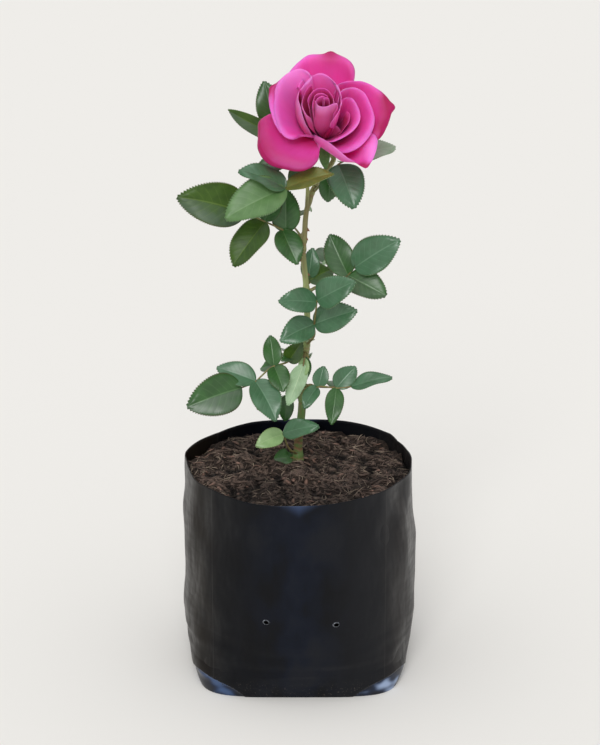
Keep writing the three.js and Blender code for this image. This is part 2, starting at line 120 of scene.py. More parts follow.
def route(points, count):
    """A smooth curve through the points, by the centripetal Catmull-Rom rule: each stretch is a
    cubic whose end slopes come from the points on both sides, with knots spaced by the square
    root of their distance. Returns count places at equal steps along it, and its directions."""
    knots = np.asarray(points, float)
    knots = np.vstack([2 * knots[0] - knots[1], knots, 2 * knots[-1] - knots[-2]])
    gaps = np.sqrt(np.linalg.norm(np.diff(knots, axis=0), axis=1))[:, None]
    before, start, end, after = knots[:-3], knots[1:-2], knots[2:-1], knots[3:]
    first, here, last = gaps[:-2], gaps[1:-1], gaps[2:]
    out = here * ((start - before) / first - (end - before) / (first + here) + (end - start) / here)
    into = here * ((end - start) / here - (after - start) / (here + last) + (after - end) / last)
    part = np.linspace(0, 1, 60, endpoint=False)[None, :, None]
    start, end, out, into = (array[:, None, :] for array in (start, end, out, into))
    fine = (start + part * out + part**2 * (3 * (end - start) - 2 * out - into)
            + part**3 * (2 * (start - end) + out + into))
    fine = np.vstack([fine.reshape(-1, 3), knots[-2]])
    walked = np.concatenate([[0], np.cumsum(np.linalg.norm(np.diff(fine, axis=0), axis=1))])
    shares = np.linspace(0, walked[-1], count)
    places = np.stack([np.interp(shares, walked, fine[:, k]) for k in range(3)], -1)
    return places, unit(np.gradient(places, axis=0))


def along_route(curve, share):
    """The place at a share of the length of a curve that route() made."""
    places = curve[0]
    at = np.asarray(share) * (len(places) - 1)
    return np.stack([np.interp(at, np.arange(len(places)), places[:, k]) for k in range(3)], -1)


def tube(curve, radius, sides):
    """Rings round a curve: point j of a ring lies radius from the curve, across its direction,
    at j / sides of a turn from its upper side, or from +X where the curve climbs steeply. radius
    is a number or an array of one row a ring."""
    places, ways = curve
    guide = np.where(np.abs(ways[:, 2:]) > 0.8, [[1.0, 0, 0]], [[0, 0, 1.0]])
    side = unit(guide - (guide * ways).sum(1, keepdims=True) * ways)
    other = np.cross(ways, side)
    turn = round_turn(sides)[None, :, None]
    radius = np.broadcast_to(np.asarray(radius, float), (len(places), sides))[..., None]
    return places[:, None] + radius * (side[:, None] * np.cos(turn) + other[:, None] * np.sin(turn))


def front_and_back(front, back):
    """One closed ring a row: the front's points from left to right, then the back's returning."""
    return np.concatenate([front, back[:, ::-1]], 1)


# Meshes

def ring_faces(rows, columns):
    """Quads of a tube of rings, with each end closed by a ladder of quads across its ring."""
    row = np.arange(rows - 1)[:, None] * columns
    column = np.arange(columns)[None, :]
    beside = (column + 1) % columns
    wall = np.stack([row + column, row + beside, row + beside + columns, row + column + columns], -1)
    rung = np.arange(columns // 2 - 1)
    ladder = np.stack([rung, rung + 1, columns - 2 - rung, columns - 1 - rung], -1)
    return np.vstack([wall.reshape(-1, 4), ladder[:, ::-1], ladder + (rows - 1) * columns])


class Skin:
    """Gathers closed tubes of points into one mesh. Each brings its place on the surface, across
    and along from 0 to 1, a tint for each point, and the number of its finish for each column."""

    def __init__(self):
        self.points, self.faces, self.maps, self.tints, self.kinds = [], [], [], [], []
        self.count = 0

    def add(self, grid, across=0.5, along=0.5, tint=0.0, kind=0):
        """Adds one tube, with its faces turned so that they point out of it."""
        rows, columns = grid.shape[:2]
        faces = ring_faces(rows, columns)
        points = grid.reshape(-1, 3)
        a, b, c, d = (points[faces[:, k]] - points.mean(0) for k in range(4))
        if ((a * np.cross(b, c)).sum() + (a * np.cross(c, d)).sum()) < 0:
            faces = faces[:, ::-1]
        ladders = len(faces) - (rows - 1) * columns
        kinds = np.broadcast_to(kind, (rows - 1, columns)).ravel()
        self.kinds.append(np.concatenate([kinds, np.full(ladders, kinds[0])]))
        self.points.append(points)
        self.faces.append(faces + self.count)
        place = [np.broadcast_to(value, (rows, columns)).ravel() for value in (across, along, tint)]
        self.maps.append(np.stack(place[:2], -1))
        self.tints.append(place[2])
        self.count += len(points)

    def make(self, name, slot, finishes, *nodes):
        """Makes the piece on body root, in place of the CAD nodes that are named."""
        faces = np.concatenate(self.faces)
        mesh = bpy.data.meshes.new(name)
        mesh.vertices.add(self.count)
        mesh.vertices.foreach_set("co", (np.concatenate(self.points) * MM).ravel())
        mesh.loops.add(faces.size)
        mesh.loops.foreach_set("vertex_index", faces.ravel())
        mesh.polygons.add(len(faces))
        mesh.polygons.foreach_set("loop_start", np.arange(len(faces)) * 4)
        mesh.polygons.foreach_set("material_index", np.concatenate(self.kinds))
        mesh.update(calc_edges=True)
        mesh.polygons.foreach_set("use_smooth", np.ones(len(faces), bool))
        place = mesh.uv_layers.new(name="place")
        place.data.foreach_set("uv", np.concatenate(self.maps)[faces.ravel()].ravel())
        tint = mesh.attributes.new("tint", "FLOAT", "POINT")
        tint.data.foreach_set("value", np.concatenate(self.tints))
        for finish in finishes:
            mesh.materials.append(finish)
        piece = bpy.data.objects.new(name, mesh)
        scene.collection.objects.link(piece)
        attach(piece, "root")
        if nodes:
            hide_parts(*nodes)


# Materials. Object coordinates are metres, so a place in them is millimetres times MM.

# The nodes that the materials use: Blender's name, its settings, the inputs that a call's values
# go to in turn, and the output that the call gives back, or None for all of them.
NODES = {
    "object": ("ShaderNodeTexCoord", {}, (), "Object"),
    "place": ("ShaderNodeUVMap", {"uv_map": "place"}, (), 0),
    "tint": ("ShaderNodeAttribute", {"attribute_name": "tint"}, (), "Fac"),
    "seen": ("ShaderNodeLightPath", {}, (), "Is Camera Ray"),
    "split": ("ShaderNodeSeparateXYZ", {}, (0,), None),
    "join": ("ShaderNodeCombineXYZ", {}, (0, 1), 0),
    "stretch": ("ShaderNodeMapping", {}, ("Vector", "Scale"), 0),
    "noise": ("ShaderNodeTexNoise", {}, ("Vector", "Scale", "Detail"), "Fac"),
    "blend": ("ShaderNodeMix", {"data_type": "RGBA"}, (0, 6, 7), 2),
    "span": ("ShaderNodeMapRange", {"interpolation_type": "SMOOTHSTEP"},
             ("Value", "From Min", "From Max", "To Min", "To Max"), 0),
    "bump": ("ShaderNodeBump", {}, ("Height", "Distance"), 0),
    "surface": ("ShaderNodeBsdfPrincipled", {}, (), "BSDF"),
    "output": ("ShaderNodeOutputMaterial", {}, ("Surface",), None),
}


def linear(code):
    """An sRGB hex colour as linear red, green, blue and alpha."""
    values = np.array([int(code[k:k + 2], 16) for k in (1, 3, 5)]) / 255
    values = np.where(values <= 0.04045, values / 12.92, ((values + 0.055) / 1.055) ** 2.4)
    return (*values, 1.0)


def grains(size):
    """The scale of a noise whose main features are size millimetres across."""
    return 1 / (size * MM)


def add_node(tree, kind, *values, **sockets):
    """Adds a node that NODES names, or else a step of arithmetic, and gives back its output.
    values go to its inputs in turn and sockets to those of their names; each is a value, a hex
    colour, or another node's output, which is linked."""
    arithmetic = ("ShaderNodeMath", {"operation": kind}, (0, 1, 2), 0)
    blender_name, settings, inputs, output = NODES.get(kind, arithmetic)
    made = tree.nodes.new(blender_name)
    for key, value in settings.items():
        setattr(made, key, value)
    named = [(key.replace("_", " "), value) for key, value in sockets.items()]
    for key, value in [*zip(inputs, values), *named]:
        if isinstance(value, bpy.types.NodeSocket):
            tree.links.new(value, made.inputs[key])
        else:
            made.inputs[key].default_value = linear(value) if isinstance(value, str) else value
    return list(made.outputs) if output is None else made.outputs[output]


def material(name):
    """A new material, and the way to add a node to its empty tree."""
    made = bpy.data.materials.new(name)
    made.use_nodes = True
    made.node_tree.nodes.clear()
    return made, partial(add_node, made.node_tree)


def leaf_veins(node):
    """Distance from the midrib, 0 to 1, and how much of a vein each place is. The midrib is where
    across is near the middle; the side veins are stripes of along less a quarter of the distance
    from the midrib, eight to a blade."""
    across, along = node("split", node("place"))[:2]
    out = node("ABSOLUTE", node("MULTIPLY_ADD", across, 2.0, -1.0))
    rising = node("SUBTRACT", along, node("MULTIPLY", out, VEINS["lean"]))
    stripe = node("PINGPONG", node("MULTIPLY", rising, VEINS["count"]), 0.5)
    side_vein = node("span", stripe, 0.0, 0.09, 1.0, 0.0)
    fading = node("span", out, 0.55, 1.0, 1.0, 0.0)
    midrib = node("span", out, 0.015, 0.05, 1.0, 0.0)
    side_vein = node("MULTIPLY", node("MULTIPLY", side_vein, fading), 0.12)
    return out, node("MAXIMUM", side_vein, node("MULTIPLY", midrib, 0.27))


def leaf_finish(name, base, dark, vein, rough, edge, wax, sky_sheen=0.0):
    """Upper side of a rose leaflet: a waxy cuticle over pinnate veins that show pale, and a duller
    edge. On the half that faces up (tint), a painted grey sky sheen stands for the wax's reflection.
    The netting between the veins is drawn at 0.9 mm, coarser than a real one, so that it shows."""
    made, node = material(name)
    here = node("object")
    out, veins = leaf_veins(node)
    mottle = node("span", node("noise", here, grains(9), 3.0), 0.35, 0.7)
    colour = node("blend", mottle, base, dark)
    # Painted sky sheen: grey, in patches, on the half that faces up
    if sky_sheen:
        patchy_sheen = node("span", node("noise", here, grains(14)), 0.3, 0.6, 0.4 * sky_sheen, sky_sheen)
        colour = node("blend", node("MULTIPLY", node("tint"), patchy_sheen), colour, "#4c5f4b")
    colour = node("blend", veins, colour, vein)
    rim = node("MULTIPLY", node("span", out, 0.9, 1.0), 0.55)
    colour = node("blend", rim, colour, edge)
    netting = node("MULTIPLY", node("noise", here, grains(0.9)), 0.35)
    raised = node("bump", node("SUBTRACT", netting, veins), 0.045 * MM)
    node("output", node("surface", Base_Color=colour, Roughness=rough, IOR=1.45,
                        Specular_IOR_Level=0.4, Coat_Weight=node("span", out, 0.8, 0.96, wax, 0.0),
                        Coat_Roughness=0.32, Normal=raised))
    return made


def underside_finish():
    """Underside of a leaflet: matt and paler, with no wax, and with its veins raised. Its netting
    is drawn coarser than a real one too."""
    made, node = material("Leaflet underside, matt")
    here = node("object")
    veins = leaf_veins(node)[1]
    mottle = node("span", node("noise", here, grains(7)), 0.3, 0.7)
    colour = node("blend", mottle, "#a8c4a0", "#97b48e")
    colour = node("blend", node("MULTIPLY", veins, 2.4), colour, "#c9dcb4")
    netting = node("MULTIPLY", node("noise", here, grains(1.2)), 0.5)
    raised = node("bump", node("ADD", netting, node("MULTIPLY", veins, 3.0)), 0.12 * MM)
    node("output", node("surface", Base_Color=colour, Roughness=0.62, IOR=1.4, Normal=raised))
    return made


def petal_finish(name, inner, outer, heart, sheen):
    """A rose petal: velvety cells that scatter light, deeper toward its foot, paler at its thin
    rim, dark red where it is scorched (tint above zero), and pale pink with a painted highlight
    where it should catch the light (tint below zero). The faint fan of streaks is about 26 to a
    petal, coarser than real veins."""
    made, node = material(name)
    across, along = node("split", node("place"))[:2]
    fan = node("join", node("MULTIPLY", across, 26.0), node("MULTIPLY", along, 2.2))
    streak = node("noise", fan, 1.0)
    colour = node("blend", node("span", along, 0.1, 0.6), heart, inner)
    colour = node("blend", node("span", along, 0.75, 1.0), colour, outer)
    colour = node("blend", node("MULTIPLY", node("span", streak, 0.4, 0.75), 0.08), colour, heart)
    mauve = node("span", node("noise", node("object"), grains(13)), 0.5, 0.72)
    colour = node("blend", node("MULTIPLY", mauve, 0.18), colour, "#b65aa6")
    spot = node("tint")
    colour = node("blend", spot, colour, "#9c0250")
    # Painted highlight: where the tint is below zero, the colour lifts to pale pink
    colour = node("blend", node("MULTIPLY", spot, -1.0), colour, "#ff80d2")
    node("output", node("surface", Base_Color=colour, Roughness=0.55, IOR=1.38,
                        Subsurface_Weight=0.55, Subsurface_Scale=2.5 * MM,
                        Subsurface_Radius=(1.0, 0.22, 0.5), Sheen_Weight=sheen,
                        Sheen_Roughness=0.45, Sheen_Tint="#f2c4ec",
                        Normal=node("bump", streak, 0.08 * MM)))
    return made


def film_finish():
    """Blown black polyethylene film: satin and blue-black, with a painted blue reflection in the
    middle and just under the rim, a painted brown sheen at the sides, grey towards the right,
    with specks at the foot and a fine pressed crease near each end of the front and back."""
    made, node = material("Black polyethylene film, blown")
    here = node("object")
    x, z = node("split", here)[::2]
    aside = node("ABSOLUTE", x)
    cloudy = node("noise", node("stretch", here, (1, 1, 0.6)), grains(26), 3.0)
    # Painted brown sheen on the sides, lighter to the right
    side_sheen = node("span", node("MULTIPLY_ADD", cloudy, 30 * MM, aside), 74 * MM, 98 * MM)
    side_sheen_colour = node("blend", node("span", x, -90 * MM, 90 * MM), "#19140f", "#28221d")
    colour = node("blend", side_sheen, "#07080c", side_sheen_colour)
    # Painted blue reflection down the middle
    middle = node("span", aside, 0.0, 60 * MM, 0.7, 0.0)
    middle = node("MULTIPLY", middle, node("span", cloudy, 0.3, 0.6))
    colour = node("blend", middle, colour, "#0c1424")
    # Painted blue reflection just under the rim, reaching lowest in the middle
    rim_reflection = node("span", node("MULTIPLY_ADD", aside, -0.55, z), 157 * MM, 171 * MM)
    colour = node("blend", node("MULTIPLY", rim_reflection, 0.5), colour, "#4c5f86")
    worn = node("MULTIPLY", node("span", cloudy, 0.5, 0.7), 0.5)
    colour = node("blend", worn, colour, "#1a1b1e")
    righter = node("MULTIPLY_ADD", cloudy, 30 * MM, x)
    colour = node("blend", node("span", righter, 20 * MM, 70 * MM, 0.0, 0.6), colour, "#1c1d21")
    off_crease = node("ABSOLUTE", node("SUBTRACT", aside, 67.5 * MM))
    colour = node("blend", node("span", off_crease, 0.0, 0.5 * MM, 0.35, 0.0), colour, "#3a3938")
    low = node("span", z, 0.0, 22 * MM, 1.0, 0.0)
    specks = node("MULTIPLY", node("span", node("noise", here, grains(1.3)), 0.63, 0.7), low)
    colour = node("blend", node("MULTIPLY", specks, 0.6), colour, "#675f58")
    scuffs = node("noise", node("stretch", here, (0.5, 0.5, 2)), grains(9), 4.0)
    dents = node("noise", node("stretch", here, (1, 1, 0.5)), grains(18))
    node("output", node("surface", Base_Color=colour, IOR=1.51, Specular_IOR_Level=0.14,
                        Roughness=node("span", scuffs, 0.3, 0.8, 0.3, 0.42),
                        Normal=node("bump", dents, 1.4 * MM)))
    return made


def folded_film_finish():
    """The same film pulled tight over the folded corners, with painted reflections in streaks."""
    made, node = material("Black polyethylene film, stretched")
    here = node("object")
    streak = node("noise", node("stretch", here, (0.9, 0.9, 1.9)), grains(20), 1.0)
    righter = node("span", node("split", here)[0], -60 * MM, 60 * MM)
    # Painted reflection streaks, dark navy to blue, and bright painted highlights, paler towards the right
    lit = node("blend", righter, "#3a5075", "#93a5c4")
    colour = node("blend", node("span", streak, 0.42, 0.62), "#0a101d", "#1a2d4d")
    colour = node("blend", node("span", streak, 0.5, 0.66), colour, lit)
    node("output", node("surface", Base_Color=colour, Roughness=0.28, IOR=1.51,
                        Specular_IOR_Level=0.35, Normal=node("bump", streak, 1.5 * MM)))
    return made


def mix_finish(name, light, dark, size, rough):
    """Loose organic stuff, matt, in two close shades, with painted shade down in the gaps and darker where
    damp (tint).
    """
    made, node = material(name)
    here = node("object")
    shade = node("span", node("noise", here, grains(size), 3.0), 0.35, 0.7)
    colour = node("blend", shade, light, dark)
    # Painted shade in the gaps, and darker damp patches, from the tint
    colour = node("blend", node("MULTIPLY", node("tint"), 0.92), colour, "#0c0807")
    raised = node("bump", node("noise", here, grains(0.8)), 0.3 * MM)
    node("output", node("surface", Base_Color=colour, Roughness=rough, IOR=1.4, Normal=raised))
    return made


def bark_finish():
    """Green rose bark, smooth and faintly streaked: paler and then olive-brown higher up, yellow-green
    under the bloom, and reddish at the foot's scars (tint)."""
    made, node = material("Green cane bark")
    here = node("object")
    high = node("split", here)[2]
    colour = node("blend", node("span", high, 200 * MM, 260 * MM), "#5f7f45", "#93a268")
    colour = node("blend", node("span", high, 300 * MM, 360 * MM), colour, "#7c774e")
    colour = node("blend", node("span", high, 376 * MM, 392 * MM), colour, "#a3a66c")
    streaks = node("noise", node("stretch", here, (1, 1, 0.12)), grains(1.6), 3.0)
    streaky = node("MULTIPLY", node("span", streaks, 0.4, 0.7), 0.5)
    colour = node("blend", streaky, colour, "#7d6a4c")
    colour = node("blend", node("tint"), colour, "#8a5d49")
    node("output", node("surface", Base_Color=colour, Roughness=0.48, IOR=1.42,
                        Normal=node("bump", streaks, 0.2 * MM)))
    return made


def plain_finish(name, light, dark, rough):
    """A smooth skin in two close shades, in patches of 2.5 mm."""
    made, node = material(name)
    patches = node("span", node("noise", node("object"), grains(2.5)), 0.35, 0.7)
    colour = node("blend", patches, light, dark)
    node("output", node("surface", Base_Color=colour, Roughness=rough, IOR=1.42))
    return made


def even_finish(name, colour, rough):
    """A surface of one colour that gives back no gloss at all."""
    made, node = material(name)
    node("output", node("surface", Base_Color=colour, Roughness=rough, Specular_IOR_Level=0.0))
    return made


UNDER = underside_finish()
# Upper sides: the blade's two shades, its veins, its roughness, its edge, its wax and its painted sky
# sheen
LEAF = {
    "mature": leaf_finish("Leaflet, mature and waxy", "#2f5c25", "#264f1e", "#7f9f70",
                          0.36, "#55482e", wax=0.55, sky_sheen=0.8),
    "bright": leaf_finish("Leaflet, sunlit olive green", "#39580c", "#2c4807", "#7d9448",
                          0.46, "#53581f", wax=0.1, sky_sheen=0.8),
    "pale": leaf_finish("Leaflet, pale and dull", "#5c7f4c", "#507341", "#8ba678",
                        0.48, "#56694a", wax=0.25),
    "blue": leaf_finish("Leaflet, blue-green and smooth", "#406b49", "#38603f", "#82a688",
                        0.36, "#56603c", wax=0.8),
    "bronze": leaf_finish("Leaflet, young and bronze", "#6d742c", "#5a6828", "#908c4c",
                          0.42, "#6f5c30", wax=0.55),
    # Painted sheen: this grey-green base stands for a leaf's reflection of the sky
    "silver": leaf_finish("Leaflet, grey-green, painted sheen", "#91a48b", "#84987e", "#b2c0a8",
                          0.4, "#7b8469", wax=0.6),
    "young": leaf_finish("Leaflet, young yellow-green", "#8fae77", "#7f9f68", "#bdcfa0",
                         0.45, "#7b8a4e", wax=0.55),
}
# Firm skin with a soft gloss, warmer than the blades
STALK = plain_finish("Leaf stalk, brownish green", "#7d7a48", "#74603f", 0.45)
# A petal's under side is paler than its upper side; the heart's petals are deeper, and crimson
# at the foot
PETAL_FACE = petal_finish("Petal, upper side", "#e046a6", "#ee6cc6", "#b80a62", 0.12)
PETAL_BACK = petal_finish("Petal, under side", "#f060b4", "#fb82cc", "#cf4692", 0.12)
HEART_FACE = petal_finish("Heart petal, upper side", "#b81c62", "#e65cac", "#780a3c", 0.1)
HEART_BACK = petal_finish("Heart petal, under side", "#c84c88", "#e67ebc", "#b03c76", 0.1)
FILM = film_finish()
FILM_FOLD = folded_film_finish()
# Painted shade: a dark disc for the unlit bag behind a hole, and painted glints on the lip where the punch
# drew the film thin
HOLE = even_finish("Shadow in a drain hole", "#010101", 1.0)
HOLE_LIP = plain_finish("Black film, stretched round a hole", "#1d2026", "#7c8088", 0.3)
PEAT = mix_finish("Composted bark and peat", "#31261f", "#17100d", 3, 0.95)
BARK = bark_finish()
# Dry and horn-like, with a soft gloss
PRICKLE = plain_finish("Prickle, red-brown", "#8b5a45", "#6d4435", 0.45)
# Green and rather matt, as a fine down covers it
CALYX = plain_finish("Calyx, green", "#587c40", "#496c36", 0.55)


# Grow bag

# At each height, half the bag's width, half its depth and the power of its superellipse
LEVELS = np.array([
    [0, BAG["foot"], 80, 5], [8, 86.5, 83, 4], [22, 91, 88.5, 2.7],
    [50, BAG["belly"], 94, 2.1], [110, 94, 94, 2], [BAG["height"], BAG["rim"], BAG["rim"], 2],
])
# The rim's uneven outline: headings in degrees, and its distance from the bag's middle line there
RIM = np.array([
    [3, 92.4], [12, 93], [29, 93], [38, 97], [50, 96], [66, 96], [80, 95.5], [100, 94.5],
    [115, 95], [137, 91], [151, 93], [172, 93.5], [191, 90], [214, 89], [230, 90], [246, 93],
    [257, 94], [269, 93.5], [283, 93], [299, 91], [314, 90.5], [332, 90], [349, 90.5],
])
# Middles of the drain holes: two in front and two behind
HOLES = ((-26.1, -94, 70.8), (30, -94, 68.3), (26, 94, 71), (-31, 94, 69))


def near_film(turn, height):
    """Points on a drum 90 mm in radius, near the film, where the noises that dent it are read."""
    return np.stack(np.broadcast_arrays(90 * np.cos(turn), 90 * np.sin(turn), height), -1)


def bag_radius(turn, height):
    """Distance of the film from the bag's middle line: a superellipse, one over the n-th root of
    |cos / wide|^n + |sin / deep|^n, whose halves and power n run between LEVELS. Near the top it
    takes the rim's own outline. The wall has soft upright dents, deepest at the sides, and
    crosswise wrinkles low down."""
    wide, deep, power = (np.interp(height, LEVELS[:, 0], LEVELS[:, k]) for k in (1, 2, 3))
    cosine, sine = np.cos(turn), np.sin(turn)
    radius = (np.abs(cosine / wide) ** power + np.abs(sine / deep) ** power) ** (-1 / power)
    rim = np.interp(np.degrees(turn) % 360, RIM[:, 0], RIM[:, 1], period=360)
    radius = mix(radius, rim, ease(height, 105, 166))
    around = near_film(turn, height)
    aside = ease(np.abs(cosine), 0.55, 0.85) * ease(height, 2, 14)
    low = ease(height, 70, 20) * ease(height, 2, 12)
    soft = 0.35 * noise(around, 34, 11)
    dents = 2.0 * aside * (noise(around * [1, 1, 0.8], 21, 12) - 0.4)
    wrinkles = low * noise(around * [0.6, 0.6, 2.4], 16, 13)
    return radius + soft + dents + wrinkles


def film_wall(heights, inset, columns=360):
    """Rings of the film wall at these heights, inset from its outer face. Towards the top each
    is lifted by up to 0.8 mm of noise, and by 2.3 mm at the back."""
    turn = round_turn(columns)[None, :]
    height = np.asarray(heights, float)[:, None]
    radius = bag_radius(turn, height) - inset
    lift = 0.8 * noise(near_film(turn, 0 * height), 40, 14) + 2.3 * ease(np.sin(turn), -0.1, 0.8)
    top = height + lift * ease(height, 150, BAG["height"])
    return np.stack(np.broadcast_arrays(radius * np.cos(turn), radius * np.sin(turn), top), -1)


def corner_flap(points):
    """Share of each point that lies under the flap folded over a bottom corner: below a line that
    starts 44 mm off the middle of the front or back, rises steeply and flattens out 16 mm up. Its
    height is 1 + rise (1 - exp((start - x) / run)), with y + 16 for x where that is less."""
    x, y, z = np.moveaxis(np.abs(points), -1, 0)
    start, rise, run = 44, 15, 14
    line = 1 + rise * (1 - np.exp((start - np.minimum(x, y + 16)) / run))
    return (ease(line - z, -0.4, 0.6) * ease(x, 38, 42) * ease(y, 24, 28))[..., None]


def folded(points):
    """The wall with its four corner flaps, which stand 1 mm in from the film above them."""
    return points - corner_flap(points) * unit(points * [1, 1, 0])


def grow_bag():
    """The film: rings up its outside, over the rim and down its inside to the floor."""
    heights = np.concatenate([np.linspace(0, 30, 44), np.linspace(31, 166, 128), [167.2, 167.9]])
    outside = folded(film_wall(heights, 0))
    over = film_wall([BAG["height"]], BAG["wall"] / 2)
    inner_heights = np.concatenate([np.linspace(167.7, 150, 10), [100, 50, 12, 2.4]])
    inside = folded(film_wall(inner_heights, BAG["wall"]))
    grid = np.concatenate([outside, over, inside])
    kinds = np.zeros(grid.shape[:2], int)
    kinds[:len(heights)] = corner_flap(outside)[..., 0] > 0.5
    skin = Skin()
    skin.add(grid, kind=kinds[:-1])
    skin.make("grow_bag_film", "bag_film", [FILM, FILM_FOLD], "grow_bag")


def drain_holes():
    """Holes punched near the foot. Each is a profile turned round the hole's own axis, how far
    out and how far off the film: a dark disc of painted shade inside a curled lip that stands
    0.5 mm proud. An oval of 1.3 to 0.95 makes it wider than it is tall."""
    profile = np.array([[0.02, 0.1], [1.5, 0.1], [1.6, 0.5], [1.75, 0.5], [2.5, -0.2], [0.02, -0.4]])
    profile = profile[:, None]
    disc_then_lip = np.array([1, 1, 0, 0, 0])[:, None]
    turn = round_turn(24)[None, :, None]
    skin = Skin()
    for x, y, z in HOLES:
        angle = np.arctan2(y, x)
        out = np.array([np.cos(angle), np.sin(angle), 0])
        aside = np.array([-np.sin(angle), np.cos(angle), 0])
        middle = float(bag_radius(np.array([angle]), np.array([z]))[0]) * out + [0, 0, z]
        spoke = np.cos(turn) * aside * 1.3 + np.sin(turn) * np.array([0, 0, 0.95])
        rings = middle + profile[..., :1] * spoke + profile[..., 1:] * out
        skin.add(rings, kind=disc_then_lip)
    skin.make("grow_bag_drain_holes", "bag_film", [HOLE_LIP, HOLE])


# Potting mix

# Loose bits: their finish's name, two colours and roughness; then how many there are, a seed,
# their length, half their width, their depth as a share of it, and their height above the mix
STRANDS = {
    "potting_mix_fibres_dark": ("Coir fibre, dark", "#4a3d36", "#2e2520", 0.9,
                                2600, 41, (4, 14), (0.25, 0.6), 0.8, (-0.3, 0.9)),
    "potting_mix_fibres_brown": ("Coir fibre, brown", "#746259", "#4f423b", 0.85,
                                 1700, 42, (4, 15), (0.22, 0.5), 0.8, (0.0, 1.2)),
    "potting_mix_fibres_tan": ("Coir fibre, tan", "#a89684", "#807061", 0.8,
                               420, 43, (5, 17), (0.2, 0.45), 0.8, (0.3, 1.6)),
    "potting_mix_bark_chips": ("Bark chips, brown", "#65544b", "#42352e", 0.9,
                               1100, 44, (4, 11), (0.9, 2.3), 0.5, (0.0, 1.0)),
    "potting_mix_bark_chips_red": ("Bark chips, reddish", "#8d6f62", "#6a5045", 0.85,
                                   90, 45, (4, 10), (0.8, 2.0), 0.4, (0.5, 1.5)),
}


def soil_heap(x, y):
    """Height of the potting mix without its clods: from the edge it rises to the crown, which
    lies a little behind the middle, as 1 less the distance to the power 1.4."""
    far = np.hypot(x, y - SOIL["back"]) / SOIL["reach"]
    return SOIL["edge"] + (SOIL["crown"] - SOIL["edge"]) * (1 - np.clip(far, 0, 1) ** 1.4)


def soil_height(x, y):
    """Height of the potting mix: the heap under round clods of 22 and 9 mm, which are the size of
    a noise without its sign, and crumbs of 3 mm."""
    flat = np.stack([x, y, 0 * x], -1)
    clods = 8.5 * np.abs(noise(flat, 22, 21)) ** 0.8 + 5 * np.abs(noise(flat, 9, 22)) ** 0.8
    return soil_heap(x, y) + clods + noise(flat, 3, 23) - 5.0


def gap_shade_and_damp(x, y, height):
    """Painted shade, 1 deep in the gaps between clods and 0 on their tops, plus a real darkening where the
    mix is damp.
    """
    damp = 0.6 * ease(noise(np.stack([x, y, 0 * x], -1), 30, 25), 0.0, 0.6)
    return np.clip(ease(height - soil_heap(x, y), 0.6, -2.2) + damp, 0, 1)


def potting_mix():
    """The bed of mix: rings up the inside of the film, which then shrink towards the middle along
    its top."""
    walls = film_wall([2.8, 60, 120, 150, 156], BAG["wall"] + 0.5, columns=300)
    edge = walls[-1]
    shares = np.linspace(0.995, 0.002, 130)[:, None]
    x, y = shares * edge[:, 0], shares * edge[:, 1]
    top = np.stack([x, y, soil_height(x, y)], -1)
    walls[:3] = folded(walls[:3])
    grid = np.concatenate([walls[:-1], top])
    # Painted shade in the gaps and darker damp patches; the walls under the top get full painted shade
    shade_and_damp = gap_shade_and_damp(*np.moveaxis(grid, -1, 0))
    shade_and_damp[:len(walls) - 1] = 1
    skin = Skin()
    skin.add(grid, tint=shade_and_damp)
    skin.make("potting_mix_bed", "potting_mix", [PEAT], "potting_mix")


def strands(name, finish, count, seed, length, thick, flat, lift):
    """Loose bits on the bed: each is a short bent bar of six stations and four sides, at a random
    place and heading, bowed sideways, tilted a little and resting on the mix. One that would
    reach the film is drawn in towards the middle."""
    draw = np.random.default_rng(seed)
    spread = (BAG["rim"] - 4) * np.sqrt(draw.uniform(0, 1, count))
    turn = draw.uniform(0, 2 * np.pi, count)
    middle = np.stack([spread * np.cos(turn), spread * np.sin(turn)], -1)
    heading = draw.uniform(0, np.pi, count)
    long = draw.uniform(*length, count)[:, None]
    width = draw.uniform(*thick, count)[:, None]
    bow = draw.normal(0, 0.16, count)[:, None] * long
    tilt = draw.normal(0, 0.16, count)[:, None]
    raised = draw.uniform(*lift, count)[:, None]
    step = np.linspace(-0.5, 0.5, 6)[None, :]
    ahead = np.stack([np.cos(heading), np.sin(heading)], -1)[:, None]
    aside = np.stack([-np.sin(heading), np.cos(heading)], -1)[:, None]
    bowed = bow * (0.25 - step**2) * 4
    line = middle[:, None] + ahead * (step * long)[..., None] + aside * bowed[..., None]
    x, y = np.moveaxis(line, -1, 0)
    room = bag_radius(np.arctan2(y, x), SOIL["crown"]) - BAG["wall"] - 0.4 - width
    line = line * np.clip(room / np.hypot(x, y), None, 1)[..., None]
    x, y = np.moveaxis(line, -1, 0)
    ground = soil_height(x, y)
    height = mix(ground, ground.mean(1, keepdims=True), 0.6) + raised + tilt * step * long
    taper = width * (1 - 0.75 * (2 * np.abs(step)) ** 2.2)
    rings = np.zeros((count, 6, 4, 3))
    for k, (across, up) in enumerate(((1, 0), (0, 1), (-1, 0), (0, -1))):
        rings[:, :, k, :2] = line + aside * (taper * across)[..., None]
        rings[:, :, k, 2] = height + taper * up * flat
    skin = Skin()
    # Each bit takes the painted shade and damp of the place it lies on
    for ring, shade_and_damp in zip(rings, gap_shade_and_damp(x, y, ground + raised / 2)[..., None]):
        skin.add(ring, tint=shade_and_damp)
    skin.make(name, "potting_mix", [finish])


# Cane, shoot and prickles

BLOOM_AXIS = aim(270 + BLOOM["lean"], BLOOM["rise"])
BLOOM_RIGHT = unit(np.cross(BLOOM_AXIS, [0, 0, -1]))
BLOOM_UP = np.cross(BLOOM_AXIS, BLOOM_RIGHT)


def in_bloom(points):
    """Points of the bloom's own frame (right, up, out along its axis) in the plant's frame."""
    points = np.asarray(points, float)
    return (np.array(BLOOM["hip"]) + points[..., :1] * BLOOM_RIGHT + points[..., 1:2] * BLOOM_UP
            + points[..., 2:] * BLOOM_AXIS)


